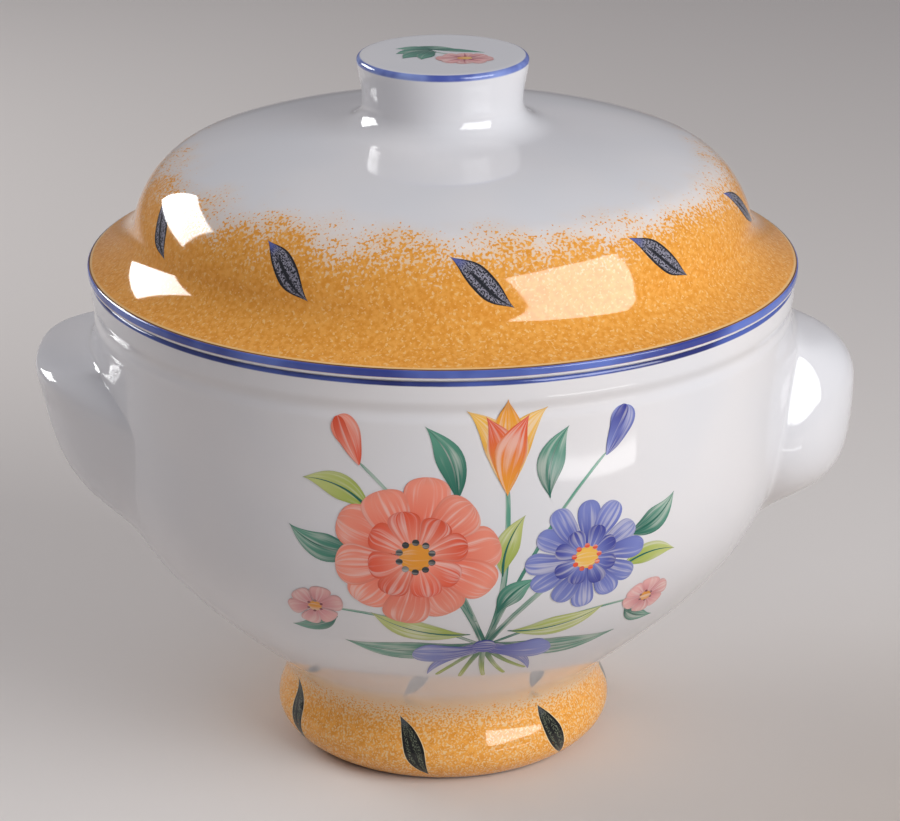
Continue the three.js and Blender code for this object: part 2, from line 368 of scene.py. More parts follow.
@dataclass(frozen=True)
class Sponging:
    """Ochre dabbed on with a sponge: solid at one course, thinning out in specks towards another."""

    solid: float
    gone: float
    light: str = "#F0AA4E"
    deep: str = "#E29634"
    wash: str = "#F3BF76"
    drift: float = 3.5
    sway: float = 32.0
    dab: float = 15.0
    scallop: float = 13.0
    clump: float = 2.1
    ragged: float = 4.5
    speck: float = 0.46
    soak: float = 2.2
    none: float = 0.88
    most: float = 0.37
    crisp: float = 0.045
    dab_middle: float = 0.42
    mottle: float = 0.8
    mottle_range: Place = (0.34, 0.66)

    def lay(self, tree: bpy.types.NodeTree, course: Socket, where: Socket, under: Link) -> bpy.types.Node:
        """Lays the sponging over a colour.

        The cover falls with the course. Round dabs scallop its edge and small clumps fray it. Fine noise is
        kept where it stands above a threshold that falls as the cover grows, so that single specks close up
        into a coat which still has pale grains in it.

        Args:
            tree: The material's nodes.
            course: Millimetres up the wall.
            where: Object coordinates.
            under: The glaze's colour below.

        Returns:
            The sponged colour.
        """
        broad = add_node(tree, "TexNoise", {"Vector": where, **patches(self.sway)})
        level = add_node(tree, "Math", {0: broad, 1: 2 * self.drift, 2: course}, operation="MULTIPLY_ADD")
        dabs = add_node(tree, "TexVoronoi", {"Vector": where, "Scale": 1 / (self.dab * MM)})
        level = add_node(tree, "Math", {0: dabs, 1: self.scallop, 2: level}, operation="MULTIPLY_ADD")
        frayed = add_node(tree, "TexNoise", {"Vector": where, **patches(self.clump, detail=2.0)})
        level = add_node(tree, "Math", {0: frayed, 1: 2 * self.ragged, 2: level}, operation="MULTIPLY_ADD")
        shift = self.drift + self.dab_middle * self.scallop + self.ragged
        reach = span(self.gone + shift, self.solid + shift)
        cover = add_node(tree, "MapRange", {"Value": level, **reach}, **SOFT)
        grain = add_node(tree, "TexNoise", {"Vector": where, **patches(self.speck, detail=1.3)})
        drop = {0: cover, 1: self.none - self.most, 2: grain}
        over = add_node(tree, "Math", drop, operation="MULTIPLY_ADD")
        limits = span(self.none - self.crisp, self.none + self.crisp)
        touch = add_node(tree, "MapRange", {"Value": over, **limits}, **SOFT)
        tone = add_node(tree, "TexNoise", {"Vector": where, **patches(self.mottle, detail=4.0)})
        tone = add_node(tree, "MapRange", {"Value": tone, **span(*self.mottle_range)}, **SOFT)
        ochre = add_node(tree, "Mix", {0: tone, 6: linear(self.deep), 7: linear(self.light)}, **RGBA)
        soaked = add_node(tree, "Math", {0: cover, 1: self.soak}, operation="POWER")
        washed = add_node(tree, "Mix", {0: soaked, 6: under, 7: linear(self.wash)}, **RGBA)
        return add_node(tree, "Mix", {0: touch, 6: washed, 7: ochre}, **RGBA)


@dataclass(frozen=True)
class GlazedEarthenware:
    """Clear-glazed white earthenware, dipped and fired: a hard wet gloss that swells very slightly.

    To the eye it is a clean cool white with soft unevenness where the glaze ran, and rare pinhead specks of
    iron from the clay. Ochre sponging and painted lines lie under the gloss, and buff clay is dry where it
    was wiped.
    """

    name: str
    sponging: Sponging
    bands: tuple[Band, ...]
    wiped: Place | None = None
    white: str = "#E2E0E1"
    cool: str = "#DCDCDF"
    iron: str = "#8A7B68"
    clay: str = "#CDB391"
    run: float = 34.0
    run_range: Place = (0.35, 0.65)
    speck_apart: float = 48.0
    speck_reach: Place = (0.003, 0.009)
    speck_depth: float = 0.4
    ripple: float = 22.0
    ripple_height: float = 0.035
    gloss: Place = (0.05, 0.08)
    gloss_patch: float = 9.0
    wipe_edges: Place = (0.4, 0.3)
    grit: float = 0.8
    grit_shade: float = 0.75
    dry: float = 0.75

    def material(self) -> bpy.types.Material:
        """Builds the glaze from the body's white outwards.

        Returns:
            The finished material.
        """
        material, tree = new_tree(self.name)
        where = add_node(tree, "TexCoord").outputs["Object"]
        course = add_node(tree, "Attribute", attribute_name="course").outputs["Fac"]
        pooled = add_node(tree, "TexNoise", {"Vector": where, **patches(self.run, detail=2.0)})
        pooled = add_node(tree, "MapRange", {"Value": pooled, **span(*self.run_range)}, **SOFT)
        colour = add_node(tree, "Mix", {0: pooled, 6: linear(self.white), 7: linear(self.cool)}, **RGBA)
        cells = add_node(tree, "TexVoronoi", {"Vector": where, "Scale": 1 / (self.speck_apart * MM)})
        limits = span(*self.speck_reach, self.speck_depth, 0)
        pins = add_node(tree, "MapRange", {"Value": cells, **limits}, **SOFT)
        colour = add_node(tree, "Mix", {0: pins, 6: colour, 7: linear(self.iron)}, **RGBA)
        colour = self.sponging.lay(tree, course, where, colour)
        for band in self.bands:
            colour = band.lay(tree, course, where, colour)
        uneven = add_node(tree, "TexNoise", {"Vector": where, **patches(self.gloss_patch, detail=2.0)})
        rough = add_node(tree, "MapRange", {"Value": uneven, **span(*NOISE_RANGE, *self.gloss)})
        if self.wiped:
            (low, high), (low_edge, high_edge) = self.wiped, self.wipe_edges
            limits = span(low - low_edge, low + low_edge)
            rise = add_node(tree, "MapRange", {"Value": course, **limits}, **SOFT)
            limits = span(high - high_edge, high + high_edge, 1, 0)
            fall = add_node(tree, "MapRange", {"Value": course, **limits}, **SOFT)
            bare = add_node(tree, "Math", {0: rise, 1: fall}, operation="MULTIPLY")
            grit = add_node(tree, "TexNoise", {"Vector": where, **patches(self.grit, detail=3.0)})
            limits = span(*self.run_range, self.grit_shade, 1)
            grit = add_node(tree, "MapRange", {"Value": grit, **limits}, **SOFT)
            layers = {0: 1.0, 6: linear(self.clay), 7: grit}
            worn = add_node(tree, "Mix", layers, blend_type="MULTIPLY", **RGBA)
            colour = add_node(tree, "Mix", {0: bare, 6: colour, 7: worn}, **RGBA)
            rough = add_node(tree, "Math", {0: bare, 1: self.dry, 2: rough}, operation="MULTIPLY_ADD")
        swell = add_node(tree, "TexNoise", {"Vector": where, **patches(self.ripple)})
        ripple = {"Height": swell, "Strength": 1.0, "Distance": self.ripple_height * MM}
        lie = add_node(tree, "Bump", ripple)
        coat = {"Base Color": colour, "Roughness": rough, "IOR": GLAZE_IOR, "Normal": lie}
        add_node(tree, "OutputMaterial", {"Surface": add_node(tree, "BsdfPrincipled", coat)})
        return material


@dataclass(frozen=True)
class BrushedUnderglaze:
    """Underglaze colours brushed on by hand and fired under the clear glaze.

    To the eye each stroke has bristle streaks where the white shows through, a pool of darker colour along
    its edges and at its end, and the same wet gloss as the ware round it.
    """

    name: str = "brushed_underglaze_colour"
    white: str = "#F0EBE4"
    bristle: float = 0.55
    streak: float = 11.0
    patch: float = 5.5
    thinnest: float = 0.42
    bare_patches: float = 0.6
    bare_range: Place = (0.72, 1.05)
    pool: float = 0.16
    pooled: Colour = (0.45, 0.42, 0.45, 1.0)
    pool_side: Place = (0.72, 0.98)
    pool_end: Place = (0.86, 1.0)
    gloss: Place = (0.055, 0.095)

    def material(self) -> bpy.types.Material:
        """Builds the paint from each stroke's own colour and its place along and across the stroke.

        Returns:
            The finished material.
        """
        material, tree = new_tree(self.name)
        pigment = add_node(tree, "Attribute", attribute_name="pigment").outputs["Color"]
        brush = add_node(tree, "Attribute", attribute_name="brush").outputs["Vector"]
        place = add_node(tree, "Attribute", attribute_name="place").outputs["Vector"]
        along, aside = add_node(tree, "SeparateXYZ", {0: place}).outputs[:2]
        pull = (0.5 / self.streak, 0.5 / self.bristle, 1.0)
        combed = add_node(tree, "VectorMath", {0: brush, 1: pull}, operation="MULTIPLY")
        streaks = add_node(tree, "TexNoise", {"Vector": combed, "Scale": 1.0, "Detail": 2.0})
        patchy = add_node(tree, "TexNoise", {"Vector": brush, **patches(self.patch, unit=1.0)})
        terms = {0: patchy, 1: self.bare_patches, 2: streaks}
        bare = add_node(tree, "Math", terms, operation="MULTIPLY_ADD")
        limits = span(*self.bare_range, 0, self.thinnest)
        thin = add_node(tree, "MapRange", {"Value": bare, **limits}, **SOFT)
        paint = add_node(tree, "Mix", {0: thin, 6: pigment, 7: linear(self.white)}, **RGBA)
        apart = add_node(tree, "Math", {0: aside}, operation="ABSOLUTE")
        rim = add_node(tree, "MapRange", {"Value": apart, **span(*self.pool_side, 0, self.pool)}, **SOFT)
        end = add_node(tree, "MapRange", {"Value": along, **span(*self.pool_end, 0, self.pool)}, **SOFT)
        layers = {0: 1.0, 6: pigment, 7: self.pooled}
        shade = add_node(tree, "Mix", layers, blend_type="MULTIPLY", **RGBA)
        gathered = add_node(tree, "Math", {0: rim, 1: end}, operation="MAXIMUM")
        paint = add_node(tree, "Mix", {0: gathered, 6: paint, 7: shade}, **RGBA)
        rough = add_node(tree, "MapRange", {"Value": streaks, **span(*NOISE_RANGE, *self.gloss)})
        coat = add_node(tree, "BsdfPrincipled", {"Base Color": paint, "Roughness": rough, "IOR": GLAZE_IOR})
        add_node(tree, "OutputMaterial", {"Surface": coat})
        return material


@dataclass(frozen=True)
class LeafPaint:
    """A leaf in charcoal underglaze, filled with a half-dry brush, under the clear glaze.

    To the eye it has a dark outline and midrib, a grey fill peppered with black and a tip where blue ran in.
    On the foot a thin pale line runs round it, where the sponging was kept away.
    """

    name: str
    dark: str = "#26282E"
    fill: str = "#9694A2"
    tip: str = "#5462AE"
    tip_start: float = 0.74
    tip_end: float = 0.95
    tip_share: float = 0.85
    pepper: float = 0.27
    pepper_edge: float = 0.05
    peppered: float = 0.5
    ragged: float = 0.3
    rib_aside: float = 0.03
    rib_half: Place = (0.1, 0.22)
    rib_end: Place = (0.62, 0.8)
    outline: float = 0.9
    outline_edge: float = 0.12
    halo: float = 1.2
    halo_edge: float = 0.05
    bare: str = "#F6D9A8"
    gloss: float = 0.055

    def material(self) -> bpy.types.Material:
        """Builds the leaf from its place along and across: fill, tip, midrib, outline and the bare line.

        Returns:
            The finished material.
        """
        material, tree = new_tree(self.name)
        brush = add_node(tree, "Attribute", attribute_name="brush").outputs["Vector"]
        place = add_node(tree, "Attribute", attribute_name="place").outputs["Vector"]
        along, aside = add_node(tree, "SeparateXYZ", {0: place}).outputs[:2]
        dots = add_node(tree, "TexNoise", {"Vector": brush, **patches(self.pepper, detail=2.5, unit=1.0)})
        limits = span(self.peppered - self.pepper_edge, self.peppered + self.pepper_edge)
        filled = add_node(tree, "MapRange", {"Value": dots, **limits}, **SOFT)
        body = add_node(tree, "Mix", {0: filled, 6: linear(self.dark), 7: linear(self.fill)}, **RGBA)
        limits = span(self.tip_start, self.tip_end, 0, self.tip_share)
        toned = add_node(tree, "MapRange", {"Value": along, **limits}, **SOFT)
        body = add_node(tree, "Mix", {0: toned, 6: body, 7: linear(self.tip)}, **RGBA)
        uneven = add_node(tree, "Math", {0: dots, 1: self.ragged, 2: aside}, operation="MULTIPLY_ADD")
        near = add_node(tree, "Math", {0: uneven, 1: self.rib_aside}, operation="SUBTRACT")
        near = add_node(tree, "Math", {0: near}, operation="ABSOLUTE")
        rib = add_node(tree, "MapRange", {"Value": near, **span(*self.rib_half, 1, 0)}, **SOFT)
        fades = add_node(tree, "MapRange", {"Value": along, **span(*self.rib_end, 1, 0)}, **SOFT)
        rib = add_node(tree, "Math", {0: rib, 1: fades}, operation="MULTIPLY")
        apart = add_node(tree, "Math", {0: aside}, operation="ABSOLUTE")
        frayed = add_node(tree, "Math", {0: dots, 1: self.ragged, 2: apart}, operation="MULTIPLY_ADD")
        limits = span(self.outline, self.outline + self.outline_edge)
        edge = add_node(tree, "MapRange", {"Value": frayed, **limits}, **SOFT)
        drawn = add_node(tree, "Math", {0: edge, 1: rib}, operation="MAXIMUM")
        paint = add_node(tree, "Mix", {0: drawn, 6: body, 7: linear(self.dark)}, **RGBA)
        limits = span(self.halo - self.halo_edge, self.halo)
        kept = add_node(tree, "MapRange", {"Value": apart, **limits}, **SOFT)
        paint = add_node(tree, "Mix", {0: kept, 6: paint, 7: linear(self.bare)}, **RGBA)
        coat = {"Base Color": paint, "Roughness": self.gloss, "IOR": GLAZE_IOR}
        add_node(tree, "OutputMaterial", {"Surface": add_node(tree, "BsdfPrincipled", coat)})
        return material


@dataclass(frozen=True)
class PaperSweep:
    """Matt background paper under the dish: a warm grey carrying painted light, paler towards the back left
    and darker towards the front right, with a faint drift in that painted light.
    """

    name: str = "matt_background_paper"
    pale: str = "#DFDAD6"
    deep: str = "#C4BAB0"
    slope: tuple[float, float, float] = (-0.6, 0.8, 0.0)
    reach: Place = (-0.2, 0.06)
    patch: float = 160.0
    drift: float = 0.08
    matt: float = 0.85

    def material(self) -> bpy.types.Material:
        """Builds the paper with painted light: it pales towards the back left, and the drift shifts that a
        little.

        Returns:
            The finished material.
        """
        material, tree = new_tree(self.name)
        where = add_node(tree, "TexCoord").outputs["Object"]
        # Painted light on the floor: the tone runs from deep at the front right to pale at the back left,
        # standing in for uneven lamplight.
        ahead = add_node(tree, "VectorMath", {0: where, 1: self.slope}, operation="DOT_PRODUCT")
        drift = add_node(tree, "TexNoise", {"Vector": where, **patches(self.patch, detail=3.0)})
        ahead = add_node(tree, "Math", {0: drift, 1: self.drift, 2: ahead}, operation="MULTIPLY_ADD")
        share = add_node(tree, "MapRange", {"Value": ahead, **span(*self.reach)}, **SOFT)
        tone = add_node(tree, "Mix", {0: share, 6: linear(self.deep), 7: linear(self.pale)}, **RGBA)
        sheet = {"Base Color": tone, "Roughness": self.matt, "Specular IOR Level": 0.0}
        add_node(tree, "OutputMaterial", {"Surface": add_node(tree, "BsdfPrincipled", sheet)})
        return material


class Pigment(Enum):
    """Underglaze colours on the painter's bench."""

    CORAL = "#E2573A"
    SALMON = "#F0917A"
    OCHRE = "#E8982F"
    STRAW = "#F1BE58"
    COBALT = "#41479A"
    LAVENDER = "#7B86C6"
    TEAL = "#1E6656"
    SAGE = "#5C9A84"
    MOSS = "#9FB14C"
    LIME = "#C3CB7E"
    ROSE = "#CF7F85"
    BLUSH = "#E9B0AC"
    CHARCOAL = "#34393B"
    PLUM = "#7E3542"


class Stroke(Enum):
    """Ways to press and draw a brush, each with its own outline."""

    LEAF = "leaf"
    PETAL = "petal"
    STEM = "stem"
    COMMA = "comma"
    DOT = "dot"

    def outline(self, along: np.ndarray) -> np.ndarray:
        """Gives half the stroke's width along it, as a share of its widest.

        A leaf is a power of four times the along and its rest. A petal grows as a power of the along, and
        the root of one less its fifth power rounds its end. A stem thins a little, and the root of one less
        a high even power rounds both its ends. A comma's head is a quarter circle, and its tail thins as a
        power of the rest. A dot is a circle.

        Args:
            along: Shares of the stroke's length.

        Returns:
            Shares of half its width.
        """
        rest = 1 - along
        if self is Stroke.LEAF:
            return (4 * along * rest) ** 1.45
        if self is Stroke.PETAL:
            return np.clip(along / 0.72, 0, None) ** 0.8 * np.sqrt(np.clip(1 - along ** 5, 0, 1)) / 0.92
        if self is Stroke.STEM:
            return np.sqrt(np.clip(1 - (2 * along - 1) ** 24, 0, 1)) * (1 - 0.35 * along)
        if self is Stroke.COMMA:
            head = np.clip(along / 0.16, 0, 1)
            return np.sqrt(head * (2 - head)) * np.clip(rest / 0.84, 0, 1) ** 0.85
        return np.sqrt(np.clip(1 - (2 * along - 1) ** 2, 0, 1))


@dataclass(frozen=True)
class BrushStroke:
    """One touch of the brush, on flat millimetres that are later wrapped on the ware."""

    kind: Stroke
    start: Place
    end: Place
    width: float
    root: Pigment
    tip: Pigment
    bow: float = 0.0
    ply: int = 0
    sway: float = 0.0

    def moved(self, size: float, rise: float) -> "BrushStroke":
        """Gives the stroke scaled about the middle and then raised."""
        start, end = ((place[0] * size, place[1] * size + rise) for place in (self.start, self.end))
        return replace(self, start=start, end=end, width=self.width * size)


@dataclass
class Painting:
    """Strokes of underglaze colour on one part of the ware, each a thin closed film sunk into the glaze."""

    name: str
    seed: int
    strokes: list[BrushStroke] = field(default_factory=list)
    rings: int = 23
    across: int = 11
    under: int = 3
    waves: tuple[float, ...] = (5.0, 9.0, 13.0)
    tones: Place = (0.92, 1.05)
    lots: Place = (0.0, 90.0)
    film: float = 0.04
    coat: float = 0.02
    sunk: float = 0.35
    wobble: float = 0.05

    def add(self, *strokes: BrushStroke) -> None:
        """Adds strokes, in the order in which they are painted."""
        self.strokes.extend(strokes)

    def dot(self, centre: Place, half: float, width: float, root: Pigment, tip: Pigment, ply: int) -> None:
        """Adds one round touch about a centre, half its length to each side."""
        ends = (centre[0] - half, centre[1]), (centre[0] + half, centre[1])
        self.add(BrushStroke(Stroke.DOT, *ends, width, root, tip, ply=ply))

    def flat(self, stroke: BrushStroke, rng: np.random.Generator) -> tuple[np.ndarray, ...]:
        """Works out one stroke on flat millimetres.

        The middle line is a quadratic Bezier that bows to one side, and may sway by one full sine. The width
        follows the stroke's outline, with a slow wobble, the mean of three sines. The loop across goes over
        the top of the film and back under it.

        Args:
            stroke: The stroke.
            rng: The painter's hand, for the wobble.

        Returns:
            x, y, 1 where the film is above the glaze and 0 below it, and the along and across shares.
        """
        along = ((1 - np.cos(np.pi * np.linspace(0, 1, self.rings + 2))) / 2)[:, None]
        start, end = np.array(stroke.start), np.array(stroke.end)
        run = end - start
        middle = (start + end) / 2 + np.array([run[1], -run[0]]) * stroke.bow * 2
        line_to = (1 - along) ** 2 * start + 2 * along * (1 - along) * middle + along ** 2 * end
        heading = 2 * (1 - along) * (middle - start) + 2 * along * (end - middle)
        heading /= np.linalg.norm(heading, axis=1)[:, None]
        beats = rng.uniform(0, 2 * np.pi, len(self.waves))
        shake = sum(np.sin(along * wave + beat) for wave, beat in zip(self.waves, beats)) / len(self.waves)
        half = stroke.width / 2 * stroke.kind.outline(along) * (1 + self.wobble * shake)
        v = np.concatenate([np.linspace(-1, 1, self.across), np.linspace(1, -1, self.under)])[None]
        high = np.concatenate([np.ones(self.across), np.zeros(self.under)])[None] * np.ones_like(along)
        offset = v * half + stroke.sway * np.hypot(*run) * np.sin(2 * np.pi * along)
        x = line_to[:, :1] + heading[:, 1:] * offset
        y = line_to[:, 1:] - heading[:, :1] * offset
        return x, y, high, along + 0 * v, v + 0 * along

    def build(self, surface: "Wall | KnobTop", material: bpy.types.Material,
              turns: tuple[float, ...] = (0.0,)) -> bpy.types.Object:
        """Wraps every stroke on the ware and makes one piece of them, shaded by the ware's own normals.

        Args:
            surface: What the strokes are wrapped on.
            material: The paint.
            turns: Azimuths in degrees at which the whole set is repeated.

        Returns:
            The piece.
        """
        rng = np.random.default_rng(self.seed)
        stores = {title: [] for title in ("points", "normals", "pigment", "brush", "place")}
        faces = []
        loop = self.across + self.under
        for order, (turn, stroke) in enumerate(product(turns, self.strokes)):
            x, y, high, along, v = self.flat(stroke, rng)
            lift = high * (self.film + self.coat * stroke.ply) - (1 - high) * self.sunk
            points = surface.place(x, y, lift, turn)
            tone = np.array([*[rng.uniform(*self.tones)] * 3, 1])
            root, tip = (np.array(linear(pigment.value)) for pigment in (stroke.root, stroke.tip))
            lot = np.full_like(along, rng.uniform(*self.lots))
            length = math.dist(stroke.start, stroke.end)
            grids = {
                "points": points,
                "normals": surface.place(x, y, lift + 1, turn) - points,
                "pigment": blend(root, tip, smooth(along)[..., None]) * tone,
                "brush": np.stack([along * length, v * stroke.width / 2, lot], axis=-1),
                "place": np.stack([along, v, lot], axis=-1)}
            faces += loft_faces(self.rings, loop, order * (self.rings * loop + 2))
            for title, grid in grids.items():
                ends = grid[0].mean(axis=0), grid[-1].mean(axis=0)
                stores[title] += [ends[0][None], grid[1:-1].reshape(-1, grid.shape[-1]), ends[1][None]]
        stacked = {title: np.vstack(rows) for title, rows in stores.items()}
        points, normals = stacked.pop("points"), stacked.pop("normals")
        return make_piece(self.name, points, faces, stacked, material, normals)


@dataclass(frozen=True)
class KnobTop:
    """The flat top of the knob, as a ground for strokes."""

    height: float

    def place(self, x: np.ndarray, y: np.ndarray, lift: np.ndarray, azimuth: float) -> np.ndarray:
        """Lays flat points on the top.

        Args:
            x: Millimetres to the right.
            y: Millimetres to the back.
            lift: Millimetres above the top.
            azimuth: Degrees by which they are turned about the knob's middle.

        Returns:
            Points in millimetres, with a last axis of 3.
        """
        turn = math.radians(azimuth)
        right = x * math.cos(turn) - y * math.sin(turn)
        back = x * math.sin(turn) + y * math.cos(turn)
        return np.stack([right, back, self.height + lift], axis=-1)


@dataclass(frozen=True)
class Lug:
    """A lug handle, drawn out of the bowl's wall: a ledge or a shoulder over a flared face with a toe.

    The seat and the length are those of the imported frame. A flat of 1 draws the ledge level, and 0 leaves
    it a rounded shoulder. The squareness and the landing go from the top to where the face has flared out,
    and the fillet's width goes from the ledge's level up.
    """

    toe_lift: float
    top_width: float
    root_width: float
    toe_width: float
    flare_depth: float
    squareness: Place
    landing: Place
    fillet: float
    seat: float = 0.0
    length: float = 0.0
    rise: float = 0.0
    projection: float = 20.4
    fullness: float = 7.0
    toe_round: float = 0.7
    slant: float = 0.0
    taper: float = 2.0
    top_fall: float = 2.5
    ledge: float = 1.9
    shoulder: float = 1.0
    flat: float = 1.0
    level_share: float = 0.8
    edge_rounding: float = 4.5
    edge_inset: float = 2.6
    fillet_rise: float = 8.0
    fillet_run: float = 22.0
    fillet_width: Place = (112.0, 50.0)
    fillet_powers: Place = (2.2, 1.5)
    softness: float = 0.5

    @property
    def top(self) -> float:
        """Gives the height of the lug's ledge."""
        return self.seat + self.rise

    def shape(self, height: np.ndarray, across: np.ndarray) -> tuple[np.ndarray, np.ndarray, np.ndarray]:
        """Works out the lug over rows of the wall.

        Going down the wall, the first rows make the ledge and the rest make the face. The reach is rounded
        at the ledge's edge as a quarter of an ellipse, slants in, and falls to nothing at the toe as a root
        of one less a power of the share down. Across, it is one less a power of the distance from the
        middle, squared at the top and soft where the face has flared out. The flare starts under a flat
        ledge, or at the top of a rounded shoulder.

        Args:
            height: The rows' heights on the plain wall, one per row.
            across: The columns' places over the lug, from -1 to 1.

        Returns:
            The lug's width per row, and how far it stands out and its height per row and column.
        """
        below = self.top - height
        risen = (1 - (1 - np.clip(below / self.ledge, 0, 1)) ** 2) ** self.shoulder
        length = self.length - self.toe_lift
        down = np.clip((below - self.ledge) * length / (length - self.ledge), 0, length)
        share = down / length
        spread = blend(below, down, self.flat) / self.flare_depth
        flare = 1 - (1 - np.clip(spread, 0, 1)) ** 2
        short = np.clip(1 - down / self.edge_rounding, 0, 1)
        inset = self.edge_inset * (1 - np.sqrt(1 - short ** 2))
        drawn_in = (1 - self.slant * share) * (1 - share ** self.fullness) ** self.toe_round
        reach = (self.projection - inset) * drawn_in
        root = blend(self.root_width, self.toe_width, share ** self.taper)
        width = blend(self.top_width - inset, root, flare)
        square = blend(*self.squareness, flare)
        proud = risen * reach * (1 - np.abs(across) ** square) ** blend(*self.landing, flare)
        fall = self.top_fall * proud * (1 - share) / self.projection
        inside = (below > 0) & (below < length)
        beside = (np.abs(across) - self.level_share) / (1 - self.level_share)
        inner = np.where(inside, self.flat * (1 - smooth(beside)), 0)
        return width, np.where(inside, proud, 0), blend(height, self.top - down - fall, inner)

    def skirt(self, height: np.ndarray, aside: np.ndarray) -> np.ndarray:
        """Works out the hollow fillet that was wiped round the lug's root with a wet finger.

        It is deepest at the ledge's level. It thins and narrows upward by powers of the climb, and is eased
        out down the face. Across, it is one less the square of the distance from the middle, squared.

        Args:
            height: The rows' heights on the plain wall.
            aside: Millimetres along the wall from the lug's middle.

        Returns:
            How far it stands out.
        """
        above = height - self.top
        climb = np.clip(above / self.fillet_rise, 0, 1)
        thin, narrow = self.fillet_powers
        rise = (1 - climb) ** thin * (1 - smooth(-above / self.fillet_run))
        half = blend(*self.fillet_width, climb ** narrow) / 2
        return self.fillet * rise * np.clip(1 - (aside / half) ** 2, 0, 1) ** 2


@dataclass
class Bowl:
    """The deep bowl with its bulged foot ring, groove, collar and two lugs, glazed over as one surface."""

    columns: int = 336
    foot_roof: float = 40.0
    bore_top: Place = (44.3, 18.5)
    bore_low: Place = (42.2, 1.2)
    bore_slope: float = -98.0
    stand_edge: float = 43.4
    foot_edge: float = 48.0
    foot_flare: float = 27.0
    foot_bulge: Place = (56.6, 10.5)
    foot_neck: Place = (53.0, 23.0)
    belly_low: Place = (62.0, 36.2)
    belly_slope: float = 39.8
    belly_pulls: Place = (0.575, 0.42)
    belly_top: Place = (114.5, 150.0)
    belly_steps: tuple[int, ...] = (56, 67, 19)
    fine_steps: int = 600
    groove: Place = (113.9, 153.6)
    collar_low: float = 157.8
    collar: float = 115.0
    rim_rounding: float = 1.5
    inside_radius: float = 109.0
    inside_top: Place = (108.5, 150.0)
    inside_low: Place = (56.0, 39.3)
    inside_slope: float = 218.0
    inside_pulls: Place = (0.46, 0.52)
    floor_edge: float = 30.8
    floor_height: float = 31.0
    sponge_height: float = 35.0
    sponge_edges: Place = (-20.0, 6.0)
    foot_line_and_shade: Place = (-0.2, 0.7)
    rim_line_and_shade: Place = (-0.1, 1.5)
    wiped: Place = (-6.4, -0.4)
    lug_rows: Place = (118.0, 141.5)
    lug_columns: float = 0.5
    lug_margins: Place = (1.0, 3.0)
    spread_power: float = 1.5
    join_power: int = 4
    softening: int = 28
    soft_step: float = 0.5
    soft_edge: Place = (0.6, 0.7)
    right: Lug = Lug(
        rise=3.0, projection=22.4, toe_lift=3.0, ledge=17.0, shoulder=0.42, flat=0.0, edge_inset=0.0,
        top_width=46.0, root_width=82.0, toe_width=44.0, taper=3.0, flare_depth=50.0, squareness=(2.2, 2.4),
        landing=(0.68, 0.68), fillet=4.0, fillet_run=70.0, fillet_width=(100.0, 60.0), softness=1.0)
    left: Lug = Lug(
        slant=0.4, toe_lift=8.0, top_width=74.0, root_width=124.0, toe_width=100.0, flare_depth=14.0,
        squareness=(5.0, 2.6), landing=(1.6, 1.6), fillet=3.0)
    rim_height: float = field(init=False)
    wall: Wall = field(init=False)

    def __post_init__(self) -> None:
        """Takes the rim and the lugs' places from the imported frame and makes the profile."""
        self.rim_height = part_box("bowl_body")[1].z / MM
        for side in ("right", "left"):
            low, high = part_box(side + "_handle")
            placed = replace(getattr(self, side), seat=high.z / MM, length=(high.z - low.z) / MM)
            setattr(self, side, placed)
        lip = (self.collar - self.rim_rounding, self.rim_height)
        self.wall = Wall(self.profile(), (self.foot_edge, 0.0), lip)

    def profile(self) -> np.ndarray:
        """Draws the profile from the underside's middle, over the foot and rim, to the inside's middle.

        Returns:
            Rows of radius and height.
        """
        neck, low, top = self.foot_neck[1], self.belly_low, self.belly_top
        under = join(line((0, neck), (self.foot_roof, neck), 9),
                     bend((self.foot_roof, neck), 0, self.bore_top, self.bore_slope, 6),
                     line(self.bore_top, self.bore_low, 6),
                     bend(self.bore_low, self.bore_slope, (self.stand_edge, 0), 0, 5),
                     line((self.stand_edge, 0), (self.foot_edge, 0), 3))
        foot = join(bend((self.foot_edge, 0), self.foot_flare, self.foot_bulge, 90, 12),
                    bend(self.foot_bulge, 90, self.foot_neck, 90, 10),
                    bend(self.foot_neck, 90, low, self.belly_slope, 12))
        fine = bend(low, self.belly_slope, top, 90, self.fine_steps, *self.belly_pulls)
        stops = (low[1], *self.lug_rows, top[1])
        runs = zip(stops, stops[1:], self.belly_steps)
        levels = [np.linspace(start, end, steps, endpoint=False) for start, end, steps in runs]
        levels = np.concatenate([*levels, stops[-1:]])
        belly = np.stack([np.interp(levels, fine[:, 1], fine[:, 0]), levels], axis=1)
        rim, shoulder = self.rim_height, self.rim_height - self.rim_rounding
        outer, lip = self.collar - self.rim_rounding, self.inside_radius + self.rim_rounding
        edge = join(bend(top, 90, self.groove, 90, 6),
                    bend(self.groove, 90, (self.collar, self.collar_low), 90, 6),
                    line((self.collar, self.collar_low), (self.collar, shoulder), 5),
                    bend((self.collar, shoulder), 90, (outer, rim), 180, 6, *ROUND),
                    line((outer, rim), (lip, rim), 2),
                    bend((lip, rim), 180, (self.inside_radius, shoulder), 270, 6, *ROUND))
        floor = (self.floor_edge, self.floor_height)
        inside = join(bend((self.inside_radius, shoulder), 270, self.inside_top, 270, 4),
                      bend(self.inside_top, 270, self.inside_low, self.inside_slope, 30, *self.inside_pulls),
                      bend(self.inside_low, self.inside_slope, floor, 180, 8),
                      line(floor, (0, self.floor_height), 8))
        return join(under, foot, belly, edge, inside)

